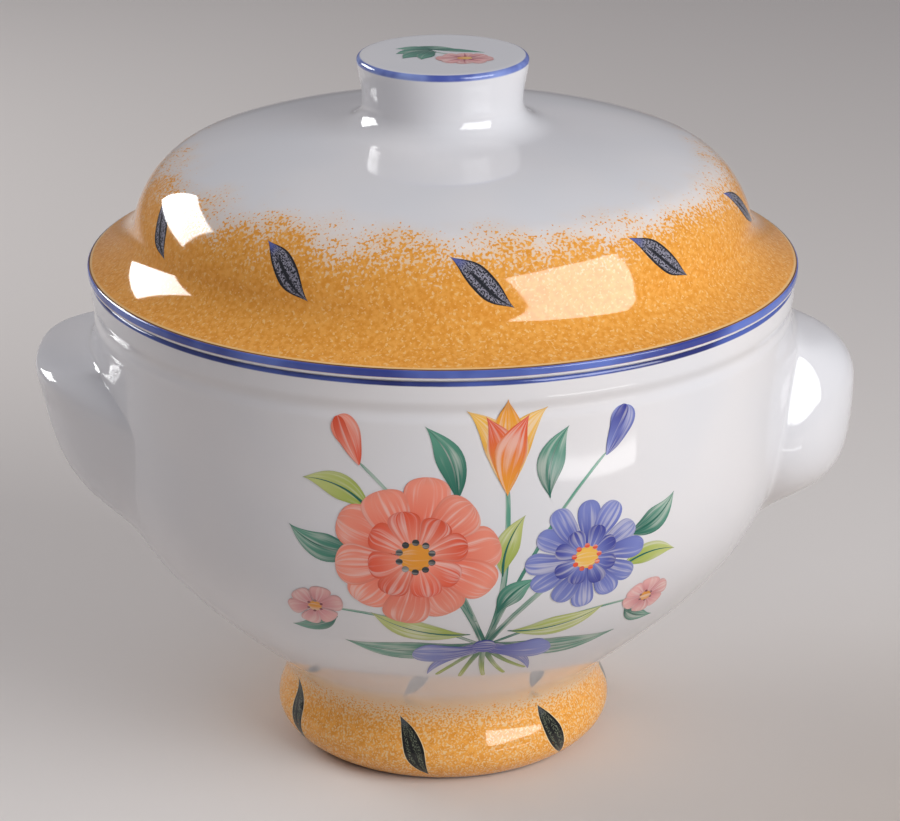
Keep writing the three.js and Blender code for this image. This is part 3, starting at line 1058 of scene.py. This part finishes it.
    def surface(self) -> np.ndarray:
        """Turns the profile and draws the lugs out of it.

        Each half turn is centred on a lug. A share of its columns lies over the lug, spaced as a sine so
        that they close up at its sides, and the rest spread out to the front and back. The lug and the
        fillet round its root are joined as a root of the sum of their powers. Creases are then softened by
        moving points part of the way to the mean of their neighbours.

        Returns:
            Points in millimetres, by row, column and axis.
        """
        rows = self.wall.rows
        radius, height = rows[:, :1], rows[:, 1:]
        outer = np.zeros(len(rows), bool)
        outer[self.wall.outside] = True
        level = np.where(outer[:, None], height, self.rim_height)
        half = self.columns // 2
        column = (np.arange(half) / (half / 2) - 1)[None]
        across = np.sin(np.pi / 2 * np.clip(column / self.lug_columns, -1, 1))
        beyond = np.clip((np.abs(column) - self.lug_columns) / (1 - self.lug_columns), 0, 1)
        beyond = beyond ** self.spread_power * np.sign(column)
        fade = (np.abs(column) - self.soft_edge[0]) / (self.soft_edge[1] - self.soft_edge[0])
        halves, weights = [], []
        for centre, lug in ((0.0, self.right), (math.pi, self.left)):
            width, proud, lug_height = lug.shape(level, across)
            edge = width / 2 / self.belly_top[0]
            turn = centre + across * edge + beyond * (math.pi / 2 - edge)
            high = lug.top + lug.fillet_rise + self.lug_margins[0]
            low = lug.top - lug.length - self.lug_margins[1]
            near = (level < high) & (level > low) & outer[:, None]
            skirt = np.where(outer[:, None], lug.skirt(level, (turn - centre) * self.belly_top[0]), 0)
            reach = radius + (proud ** self.join_power + skirt ** self.join_power) ** (1 / self.join_power)
            here = np.where(near, lug_height, height)
            halves.append(np.stack([reach * np.cos(turn), reach * np.sin(turn), here + 0 * turn], axis=-1))
            weights.append(near * lug.softness * (1 - smooth(fade)))
        points, weight = np.concatenate(halves, axis=1), np.concatenate(weights, axis=1)[..., None]
        for _ in range(self.softening):
            mean = sum(np.roll(points, step, axis) for step in (-1, 1) for axis in (0, 1)) / 4
            points = points + self.soft_step * weight * (mean - points)
        return points

    def finish(self) -> GlazedEarthenware:
        """Chooses the bowl's glaze: white, a sponged foot, a wiped standing face, and a blue rim line and a
        brown base line that are both partly painted shade.

        Returns:
            The finish.
        """
        edge = self.wall.course_at(self.sponge_height)
        rim = self.wall.course_at(self.rim_height - self.rim_rounding)
        solid, gone = (edge + step for step in self.sponge_edges)
        low, high = (rim + step for step in self.rim_line_and_shade)
        sponging = Sponging(solid, gone, wash="#EDC790", drift=1.0, scallop=1.5, ragged=1.2, speck=0.34,
                            soak=0.6, most=0.43)
        # The base line is partly painted shade where the foot meets the table.
        bands = (Band(*self.foot_line_and_shade, LinePaint.FOOT_BROWN_AND_SHADE, edge=0.15),
                 # The rim line's dark navy is partly painted shade from the gap under the lid.
                 Band(low, high, LinePaint.RIM_BLUE_AND_SHADE, edge=0.2, wander=0.15))
        return GlazedEarthenware("glazed_earthenware_bowl", sponging, bands, wiped=self.wiped)

    def build(self) -> bpy.types.Object:
        """Makes the bowl's piece on the bowl body.

        Returns:
            The piece.
        """
        piece = make_turned("bowl", self.wall, self.surface()[1:-1], self.finish().material())
        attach(piece, "bowl")
        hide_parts("bowl_body", "foot_ring", "left_handle", "right_handle")
        return piece


@dataclass
class Lid:
    """The domed lid with its flange, locating ring and flat-topped knob, glazed over as one surface."""

    columns: int = 288
    hollow: float = 19.0
    hollow_top: float = 228.3
    hollow_rounding: float = 3.0
    hollow_foot: float = 208.6
    ceiling_inner: Place = (21.5, 206.1)
    ceiling_outer: Place = (30.5, 206.1)
    inside_shoulder: Place = (82.1, 196.6)
    inside_cove: Place = (94.1, 183.4)
    inside_flange: Place = (100.2, 171.6)
    inside_slopes: tuple[float, ...] = (-4.6, -24.0, -68.0, -40.0)
    ring: Place = (101.7, 107.7)
    ring_top: float = 168.5
    ring_bottom: float = 155.5
    ring_chamfer: float = 1.5
    seat_fillet: float = 1.2
    edge: Place = (116.0, 165.3)
    edge_rounding: float = 1.0
    edge_top: Place = (116.0, 167.2)
    band: Place = (115.1, 168.1)
    cove: Place = (100.6, 181.0)
    shoulder: Place = (84.0, 201.8)
    crown: Place = (37.0, 211.1)
    dome_slopes: tuple[float, ...] = (158.0, 104.0, 160.2, 175.2)
    knob_neck: Place = (26.0, 219.4)
    knob_slopes: Place = (91.0, 86.0)
    knob_pulls: Place = (0.42, 0.36)
    knob_radius: float = 27.8
    knob_rounding: float = 1.6
    sponge_heights: Place = (186.5, 206.5)
    bare_line: Place = (-40.0, 0.25)
    blue_inset: float = 0.2
    cream_line: Place = (0.1, 1.1)
    painted_reflection_line: Place = (-0.05, 0.4)
    knob_line: Place = (-0.4, 2.0)
    seat: float = field(init=False)
    knob_edge: Place = field(init=False)
    wall: Wall = field(init=False)

    def __post_init__(self) -> None:
        """Takes the seat and the knob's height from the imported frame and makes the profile."""
        self.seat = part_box("lid_dome")[0].z / MM
        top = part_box("lid_knob")[1].z / MM
        self.knob_edge = (self.knob_radius, top - self.knob_rounding)
        self.wall = Wall(self.profile(), self.edge, (0.0, top))

    def profile(self) -> np.ndarray:
        """Draws the profile from the knob's hollow, over the inside, ring and dome, to the knob's top.

        Returns:
            Rows of radius and height.
        """
        hollow, roof, turned = self.hollow, self.hollow_top, self.hollow_rounding
        (inner, outer), chamfer, low = self.ring, self.ring_chamfer, self.ring_bottom
        ceiling, shoulder, cove, flange = self.inside_slopes
        inside = join(line((0, roof), (hollow - turned, roof), 4),
                      bend((hollow - turned, roof), 0, (hollow, roof - turned), -90, 5),
                      line((hollow, roof - turned), (hollow, self.hollow_foot), 4),
                      bend((hollow, self.hollow_foot), -90, self.ceiling_inner, 0, 5),
                      line(self.ceiling_inner, self.ceiling_outer, 3),
                      bend(self.ceiling_outer, ceiling, self.inside_shoulder, shoulder, 16),
                      bend(self.inside_shoulder, shoulder, self.inside_cove, cove, 8),
                      bend(self.inside_cove, cove, self.inside_flange, flange, 7),
                      bend(self.inside_flange, flange, (inner, self.ring_top), -90, 4))
        root, rest = (outer, self.seat - self.seat_fillet), (outer + self.seat_fillet, self.seat)
        under_edge = (self.edge[0] - self.edge_rounding, self.seat)
        ring = join(line((inner, self.ring_top), (inner, low + chamfer), 4),
                    bend((inner, low + chamfer), -90, (inner + chamfer, low), 0, 4, *ROUND),
                    line((inner + chamfer, low), (outer - chamfer, low), 2),
                    bend((outer - chamfer, low), 0, (outer, low + chamfer), 90, 4, *ROUND),
                    line((outer, low + chamfer), root, 3),
                    bend(root, 90, rest, 0, 4),
                    line(rest, under_edge, 3),
                    bend(under_edge, 0, self.edge, 90, 5, *ROUND))
        band, cove, shoulder, crown = self.dome_slopes
        dome = join(line(self.edge, self.edge_top, 4),
                    bend(self.edge_top, 90, self.band, band, 6, *ROUND),
                    bend(self.band, band, self.cove, cove, 20),
                    bend(self.cove, cove, self.shoulder, shoulder, 26),
                    bend(self.shoulder, shoulder, self.crown, crown, 24))
        neck, rise = self.knob_slopes
        top = self.knob_edge[1] + self.knob_rounding
        flat = self.knob_radius - self.knob_rounding
        knob = join(bend(self.crown, crown, self.knob_neck, neck, 16, *self.knob_pulls),
                    bend(self.knob_neck, neck, self.knob_edge, rise, 10),
                    bend(self.knob_edge, rise, (flat, top), 180, 7, *ROUND),
                    line((flat, top), (0, top), 14))
        return join(inside, ring, dome, knob)

    def finish(self) -> GlazedEarthenware:
        """Chooses the lid's glaze: sponged up to the shoulder, with lines at the edge and round the knob.
        One edge line is a painted reflection of the dark in the edge's rounding.

        Returns:
            The finish.
        """
        solid, gone = (self.wall.course_at(height) for height in self.sponge_heights)
        knob_low, knob_high = (self.wall.course_at(self.knob_edge[1]) + step for step in self.knob_line)
        band = self.wall.course_at(self.band[1] - self.blue_inset)
        cream_low, cream_high = (band + step for step in self.cream_line)
        reflection_low, reflection_high = (band + step for step in self.painted_reflection_line)
        bands = (Band(*self.bare_line, LinePaint.BARE_WHITE, edge=0.15, wander=0.1),
                 Band(self.bare_line[1], band, LinePaint.EDGE_BLUE, edge=0.2, wander=0.15),
                 Band(cream_low, cream_high, LinePaint.BARE_CREAM, edge=0.3),
                 # Painted reflection: the dark line at the top of the blue band, for the dark mirrored in
                 # the edge's rounding.
                 Band(reflection_low, reflection_high, LinePaint.EDGE_PAINTED_REFLECTION, edge=0.12, wander=0.15),
                 Band(knob_low, knob_high, LinePaint.KNOB_BLUE, edge=0.3, wander=0.4, load=9.0))
        return GlazedEarthenware("glazed_earthenware_lid", Sponging(solid, gone), bands)

    def build(self) -> bpy.types.Object:
        """Turns the profile into the lid's piece on the lid body.

        Returns:
            The piece.
        """
        turn = np.arange(self.columns) * (2 * math.pi / self.columns)
        rows = self.wall.rows[1:-1]
        circle = np.stack([np.cos(turn), np.sin(turn)], axis=-1)
        level = np.broadcast_to(rows[:, 1][:, None, None], (len(rows), self.columns, 1))
        points = np.concatenate([rows[:, 0][:, None, None] * circle, level], axis=-1)
        piece = make_turned("lid", self.wall, points, self.finish().material())
        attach(piece, "lid")
        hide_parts("lid_dome", "lid_locating_ring", "lid_knob")
        return piece


@dataclass
class Leaves:
    """Slanting leaves spaced evenly round the ware. The tail and the tip are places aside and in height."""

    count: int
    phase: float
    tail: Place
    tip: Place
    width: float
    sway: float
    rings: int = 31
    wobble: float = 0.1

    def build(self, name: str, wall: Wall, paint: LeafPaint, body: str, seed: int) -> bpy.types.Object:
        """Paints the leaves.

        Args:
            name: The piece's name.
            wall: What they are painted on.
            paint: Their finish.
            body: The body they ride on.
            seed: For the hand's wobble.

        Returns:
            The piece.
        """
        painting = Painting(name, seed, rings=self.rings, wobble=self.wobble)
        dark = Pigment.CHARCOAL
        tail, tip = ((aside, wall.course_at(height)) for aside, height in (self.tail, self.tip))
        painting.add(BrushStroke(Stroke.LEAF, tail, tip, self.width, dark, dark, sway=self.sway))
        turns = tuple(self.phase + 360 / self.count * leaf for leaf in range(self.count))
        piece = painting.build(wall, paint.material(), turns)
        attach(piece, body)
        return piece


@dataclass
class Bouquet:
    """A tied bunch of garden flowers, painted on the front of the bowl in single strokes."""

    azimuth: float = 4.7
    height: float = 96.0
    size: float = 0.95
    tie: Place = (2.0, -31.0)
    knot: Place = (3.8, 8.4)
    uneven: float = 0.05
    uneven_beat: float = 2.4
    petal_bow: float = 0.03
    dot_ring: float = 1.05
    dot_size: float = 0.22
    cut_width: float = 2.2
    cut_bow: float = 0.03
    midrib: float = 0.9
    leaf_ply: int = 3
    flower_ply: int = 7
    blooms: Painting = field(default_factory=lambda: Painting("bouquet_blooms", 41))
    greens: Painting = field(default_factory=lambda: Painting("bouquet_greens", 42))

    def ring(self, centre: Place, inner: float, outer: float, count: int, width: float, root: Pigment,
             tip: Pigment, turn: float, ply: int) -> None:
        """Paints a ring of petals from the heart outwards, every second one over its neighbours.

        Args:
            centre: The flower's middle.
            inner: Where the petals start.
            outer: Where they end.
            count: How many there are, an even number.
            width: A petal's width.
            root: Its colour at the heart.
            tip: Its colour at the end.
            turn: Degrees by which the ring is turned.
            ply: How many coats lie below.
        """
        for petal in range(count):
            angle = math.radians(turn + 360 / count * petal)
            way = np.array([math.sin(angle), math.cos(angle)])
            uneven = 1 + self.uneven * math.sin(self.uneven_beat * petal + turn)
            start, end = np.array(centre) + way * inner, np.array(centre) + way * outer * uneven
            bow = self.petal_bow * (-1) ** petal
            self.blooms.add(BrushStroke(Stroke.PETAL, tuple(start), tuple(end), width, root, tip, bow,
                                        ply + petal % 2))

    def heart(self, centre: Place, radius: float, fill: Pigment, dots: Pigment, count: int,
              ply: int) -> None:
        """Paints a flower's heart with a ring of dots on it.

        Args:
            centre: The flower's middle.
            radius: The heart's radius.
            fill: Its colour.
            dots: The dots' colour.
            count: How many dots there are.
            ply: How many coats lie below.
        """
        self.blooms.dot(centre, radius, 2 * radius, fill, fill, ply)
        small, away = self.dot_size * radius, self.dot_ring * radius
        for dot in range(count):
            angle = 2 * math.pi * dot / count
            place = (centre[0] + away * math.sin(angle), centre[1] + away * math.cos(angle))
            self.blooms.dot(place, small, 2 * small, dots, dots, ply + 1)

    def paint_stems(self) -> None:
        """Paints the stems, their cut ends, and the leaves with their midribs."""
        teal, sage, moss, lime = Pigment.TEAL, Pigment.SAGE, Pigment.MOSS, Pigment.LIME
        stems = (((-54, -12), 0.1, 1.5), ((-22, 14), 0.07, 2.4), ((-40, 44), 0.08, 1.5),
                 ((7, 36), 0.03, 2.4), ((40, 44), -0.08, 1.5), ((34, 8), -0.09, 2.4),
                 ((58, -16), -0.1, 1.5))
        for order, (end, bow, width) in enumerate(stems):
            self.greens.add(BrushStroke(Stroke.STEM, self.tie, end, width, teal, sage, bow, order % 3))
        for order, end in enumerate(((-12, -55), (-4, -57), (4, -57), (11, -56), (18, -53))):
            self.greens.add(BrushStroke(Stroke.STEM, self.tie, end, self.cut_width, teal, moss, self.cut_bow,
                                        order % 3))
        leaves = (
            ((0, -28), (-44, -30), 12, teal, sage, -0.12), ((4, -28), (49, -34), 12, teal, sage, 0.12),
            ((-3, -23), (-36, -12), 10, moss, lime, -0.1), ((9, -22), (42, -15), 10, moss, lime, 0.1),
            ((-38, 14), (-64, 20), 10, teal, sage, -0.15), ((-36, 27), (-59, 37), 9, moss, lime, 0.14),
            ((48, 14), (67, 25), 9, teal, sage, 0.15), ((47, 1), (69, 3), 8, moss, lime, -0.12),
            ((-9, 31), (-19, 57), 9, teal, sage, 0.12), ((21, 31), (27, 55), 9, teal, sage, -0.12),
            ((6, 4), (13, 26), 8, moss, lime, -0.1), ((5, -12), (17, 2), 8, teal, sage, -0.12),
            ((-47, -16), (-63, -25), 7, teal, sage, -0.12), ((51, -20), (65, -31), 7, teal, sage, 0.12))
        for order, (start, end, width, root, tip, bow) in enumerate(leaves):
            ply = self.leaf_ply + 2 * (order % 2)
            self.greens.add(BrushStroke(Stroke.LEAF, start, end, width, root, tip, bow, ply),
                            BrushStroke(Stroke.COMMA, start, end, self.midrib, teal, teal, bow, ply + 1))

    def paint_flowers(self) -> None:
        """Paints the flowers, the buds and the bow."""
        coral, salmon, ochre, straw = Pigment.CORAL, Pigment.SALMON, Pigment.OCHRE, Pigment.STRAW
        cobalt, lavender, rose, blush = Pigment.COBALT, Pigment.LAVENDER, Pigment.ROSE, Pigment.BLUSH
        ply = self.flower_ply
        self.ring((-22, 12), 3, 27, 10, 16, coral, salmon, 8, ply)
        self.ring((-22, 12), 2, 16.5, 8, 10.5, salmon, coral, 30, ply + 2)
        self.heart((-22, 12), 5.2, ochre, Pigment.CHARCOAL, 10, ply + 4)
        self.ring((34, 8), 2, 20.5, 12, 8.4, cobalt, lavender, 0, ply)
        self.ring((34, 8), 1.5, 11.5, 8, 6.2, lavender, cobalt, 20, ply + 2)
        self.heart((34, 8), 4.2, straw, coral, 9, ply + 4)
        tulip = (((-6, 62), 11, ochre, straw, 0.16), ((20, 62), 11, ochre, straw, -0.16),
                 ((7, 66), 13, straw, ochre, 0.0), ((0, 60), 10, ochre, coral, 0.1),
                 ((14, 60), 10, ochre, coral, -0.1))
        for order, (end, width, root, tip, bow) in enumerate(tulip):
            self.blooms.add(BrushStroke(Stroke.LEAF, (7, 33), end, width, root, tip, bow, ply + order))
        for centre, radius in (((-55, -12), 9.5), ((59, -16), 9.0)):
            self.ring(centre, 0.8, radius, 6, 7.6, rose, blush, 12, ply)
            self.heart(centre, 2.4, ochre, Pigment.PLUM, 6, ply + 2)
        buds = (((-40, 43), (-47, 59), coral, salmon), ((40, 43), (47, 59), cobalt, lavender))
        for base, end, root, tip in buds:
            self.blooms.add(BrushStroke(Stroke.PETAL, base, end, 9, root, tip, 0.05, ply),
                            BrushStroke(Stroke.PETAL, base, end, 4.6, tip, root, -0.05, ply + 1))
        x, y = self.tie
        ribbon = ((-17, -23, 7, Stroke.COMMA, 0.15), (17, -23, 7, Stroke.COMMA, -0.15),
                  (-23, -4, 13, Stroke.PETAL, -0.1), (23, -4, 13, Stroke.PETAL, 0.1))
        for order, (aside, down, width, kind, bow) in enumerate(ribbon):
            end = (x + aside, y + down)
            self.blooms.add(BrushStroke(kind, self.tie, end, width, cobalt, lavender, bow, ply + order))
        self.blooms.dot(self.tie, *self.knot, cobalt, cobalt, ply + 4)

    def build(self, wall: Wall) -> list[bpy.types.Object]:
        """Paints the bunch on the bowl's wall.

        Args:
            wall: The bowl's wall.

        Returns:
            The two pieces.
        """
        self.paint_stems()
        self.paint_flowers()
        middle = wall.course_at(self.height)
        paint = BrushedUnderglaze().material()
        pieces = []
        for painting in (self.greens, self.blooms):
            painting.strokes = [stroke.moved(self.size, middle) for stroke in painting.strokes]
            piece = painting.build(wall, paint, (self.azimuth,))
            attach(piece, "bowl")
            pieces.append(piece)
        return pieces


@dataclass
class KnobSprig:
    """A small sprig on top of the knob: one rose flower, two long leaves and a fan of teal leaves."""

    height: float
    flower: Place = (6.8, -6.2)
    spread: Place = (9.2, 6.6)
    petals: int = 8
    petal_width: float = 5.6
    petal_bow: float = 0.04
    vein: float = 1.0
    heart: Place = (2.4, 3.4)
    flower_ply: int = 7

    def build(self) -> bpy.types.Object:
        """Paints the sprig.

        Returns:
            The piece.
        """
        painting = Painting("knob_sprig", 77)
        teal, sage, rose, blush = Pigment.TEAL, Pigment.SAGE, Pigment.ROSE, Pigment.BLUSH
        strokes = (
            (Stroke.STEM, (-10, 10), (4, -1), 1.2, 0.06), (Stroke.LEAF, (-9.5, 9.5), (5, 6), 3.6, -0.06),
            (Stroke.LEAF, (-6, 6.5), (13.5, 1.5), 3.6, -0.05), (Stroke.LEAF, (-3, 6), (-15, 7), 4.8, 0.1),
            (Stroke.LEAF, (-3, 5), (-15, 0.5), 6.0, 0.1), (Stroke.LEAF, (-2.5, 4), (-13, -5.5), 6.6, 0.1),
            (Stroke.LEAF, (-2, 3), (-7, -7), 5.6, 0.1))
        for order, (kind, start, end, width, bow) in enumerate(strokes):
            painting.add(BrushStroke(kind, start, end, width, teal, sage, bow, order))
        (x, y), (wide, deep), bow, ply = self.flower, self.spread, self.petal_bow, self.flower_ply
        for petal in range(self.petals):
            angle = 2 * math.pi * petal / self.petals
            end = (x + wide * math.sin(angle), y + deep * math.cos(angle))
            coat = ply + petal % 2
            painting.add(BrushStroke(Stroke.PETAL, (x, y), end, self.petal_width, rose, blush, bow, coat),
                         BrushStroke(Stroke.COMMA, (x, y), end, self.vein, Pigment.PLUM, rose, bow, ply + 2))
        painting.dot(self.flower, *self.heart, Pigment.OCHRE, Pigment.STRAW, ply + 3)
        paint = BrushedUnderglaze("brushed_underglaze_sprig").material()
        piece = painting.build(KnobTop(self.height), paint)
        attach(piece, "lid")
        return piece


class Seen(Enum):
    """What a lamp shows in: the matt light, the reflections or both."""

    BOTH = "both"
    MATT = "matt"
    GLOSS = "gloss"


@dataclass(frozen=True)
class Softbox:
    """A square studio lamp aimed at the dish."""

    name: str
    azimuth: float
    elevation: float
    distance: float
    width: float
    height: float
    glow: float
    aim: tuple[float, float, float] = (0.0, 0.0, 0.12)
    tint: str = "#FFFFFF"
    seen: Seen = Seen.BOTH

    def light(self) -> None:
        """Hangs the lamp. A square lamp's power is its glow times pi times its area."""
        turn, rise = math.radians(self.azimuth), math.radians(self.elevation)
        way = Vector((math.sin(turn) * math.cos(rise), -math.cos(turn) * math.cos(rise), math.sin(rise)))
        data = bpy.data.lights.new(self.name, "AREA")
        data.shape = "RECTANGLE"
        data.size = self.width
        data.size_y = self.height
        data.energy = self.glow * math.pi * self.width * self.height
        data.color = linear(self.tint)[:3]
        lamp = bpy.data.objects.new(self.name, data)
        lamp.location = Vector(self.aim) + way * self.distance
        lamp.rotation_euler = way.to_track_quat("Z", "Y").to_euler()
        lamp.visible_camera = False
        lamp.visible_diffuse = self.seen is not Seen.GLOSS
        lamp.visible_glossy = self.seen is not Seen.MATT
        bpy.context.scene.collection.objects.link(lamp)


@dataclass
class Studio:
    """The pale floor, the soft lamps, the grey room and the camera."""

    floor_radius: float = 6000.0
    floor_columns: int = 96
    floor_rings: int = 12
    room: str = "#7F7D82"
    lens: float = 127.8
    sensor: float = 36.0
    far: float = 30.0
    camera_turn: float = -1.8
    camera_pitch: float = 69.55
    camera_back: float = 1000.0
    camera_side: float = 2.31
    camera_height: float = 485.2
    lamps: tuple[Softbox, ...] = (
        Softbox("key_softbox", azimuth=48.0, elevation=25.0, distance=1.3, width=0.96, height=0.78, glow=6.2,
                tint="#FCFDFF"),
        Softbox("key_glint", azimuth=48.0, elevation=25.0, distance=1.29, width=0.95, height=0.77, glow=1.8,
                seen=Seen.GLOSS),
        Softbox("rear_softbox", azimuth=-125.0, elevation=23.0, distance=1.3, width=0.7, height=0.46,
                glow=5.4),
        Softbox("rear_glint", azimuth=-125.0, elevation=23.0, distance=1.29, width=0.69, height=0.45,
                glow=6.5, seen=Seen.GLOSS),
        Softbox("ceiling_bounce", azimuth=-90.0, elevation=62.0, distance=1.5, width=1.6, height=1.6,
                glow=0.44, seen=Seen.MATT),
        Softbox("low_card", azimuth=41.0, elevation=0.0, distance=0.415, width=0.2, height=0.016, glow=4.2,
                aim=(0.0, 0.0, 0.01), seen=Seen.GLOSS),
    )

    def floor(self) -> bpy.types.Object:
        """Lays the floor, one wide sheet of rings whose radius falls to the middle as a square.

        Returns:
            The floor.
        """
        around, rings = self.floor_columns, self.floor_rings
        turn = np.arange(around) * (2 * math.pi / around)
        reach = self.floor_radius * np.linspace(1, 0, rings + 1)[:-1, None] ** 2
        grid = np.stack([reach * np.cos(turn), reach * np.sin(turn), 0 * reach * turn], axis=-1)
        points = np.vstack([grid.reshape(-1, 3), [[0, 0, 0]]])
        index = np.arange(rings * around).reshape(rings, around)
        ahead = np.roll(index, -1, axis=1)
        quads = np.stack([index[:-1], ahead[:-1], ahead[1:], index[1:]], axis=-1).reshape(-1, 4)
        fan = np.stack([index[-1], ahead[-1], np.full(around, rings * around)], axis=-1)
        sheet = make_piece("floor", points, [*quads.tolist(), *fan.tolist()], {}, PaperSweep().material())
        return sheet

    def light(self) -> None:
        """Hangs the lamps and gives the room its even grey."""
        for lamp in self.lamps:
            lamp.light()
        world = bpy.data.worlds.new("grey_room")
        bpy.context.scene.world = world
        world.use_nodes = True
        world.node_tree.nodes.clear()
        glow = add_node(world.node_tree, "Background", {"Color": linear(self.room), "Strength": 1.0})
        add_node(world.node_tree, "OutputWorld", {"Surface": glow})

    def camera(self) -> None:
        """Stands the camera where the photograph was taken from."""
        turn = math.radians(self.camera_turn)
        data = bpy.data.cameras.new("camera")
        data.lens = self.lens
        data.sensor_width = self.sensor
        data.sensor_fit = "HORIZONTAL"
        data.clip_end = self.far
        eye = bpy.data.objects.new("camera", data)
        side, back = self.camera_side, self.camera_back
        eye.location = Vector((back * math.sin(turn) + side * math.cos(turn),
                               side * math.sin(turn) - back * math.cos(turn), self.camera_height)) * MM
        eye.rotation_euler = (math.radians(self.camera_pitch), 0.0, turn)
        bpy.context.scene.collection.objects.link(eye)
        bpy.context.scene.camera = eye


def report(piece: bpy.types.Object) -> None:
    """Logs a piece's name and its faces."""
    LOG.info("%s: %d faces", piece.name, len(piece.data.polygons))


def main() -> None:
    """Builds the studio, the bowl, the lid and their painting, and reports each piece."""
    logging.basicConfig(level=logging.INFO, format="%(name)s %(message)s")
    bpy.context.scene.view_settings.view_transform = "Standard"
    studio = Studio()
    studio.camera()
    studio.light()
    report(studio.floor())
    bowl, lid = Bowl(), Lid()
    report(bowl.build())
    report(lid.build())
    lid_leaves = Leaves(count=10, phase=5.2, tail=(9.6, 181.4), tip=(-9.2, 195.8), width=7.6, sway=-0.024)
    report(lid_leaves.build("lid_leaves", lid.wall, LeafPaint("charcoal_leaf_lid"), "lid", 7))
    foot_leaves = Leaves(count=7, phase=-11.8, tail=(4.9, 4.0), tip=(-5.1, 24.6), width=7.4, sway=-0.012)
    foot_paint = LeafPaint("charcoal_leaf_foot", fill="#646A58", dark="#1E1F1E", tip="#4A5570",
                           tip_start=0.75, tip_share=0.4, peppered=0.53, outline=0.74, halo=0.95)
    report(foot_leaves.build("foot_leaves", bowl.wall, foot_paint, "bowl", 8))
    for piece in Bouquet().build(bowl.wall):
        report(piece)
    report(KnobSprig(lid.wall.rows[-1, 1]).build())
    bpy.context.view_layer.update()


if __name__ == "__main__":
    main()
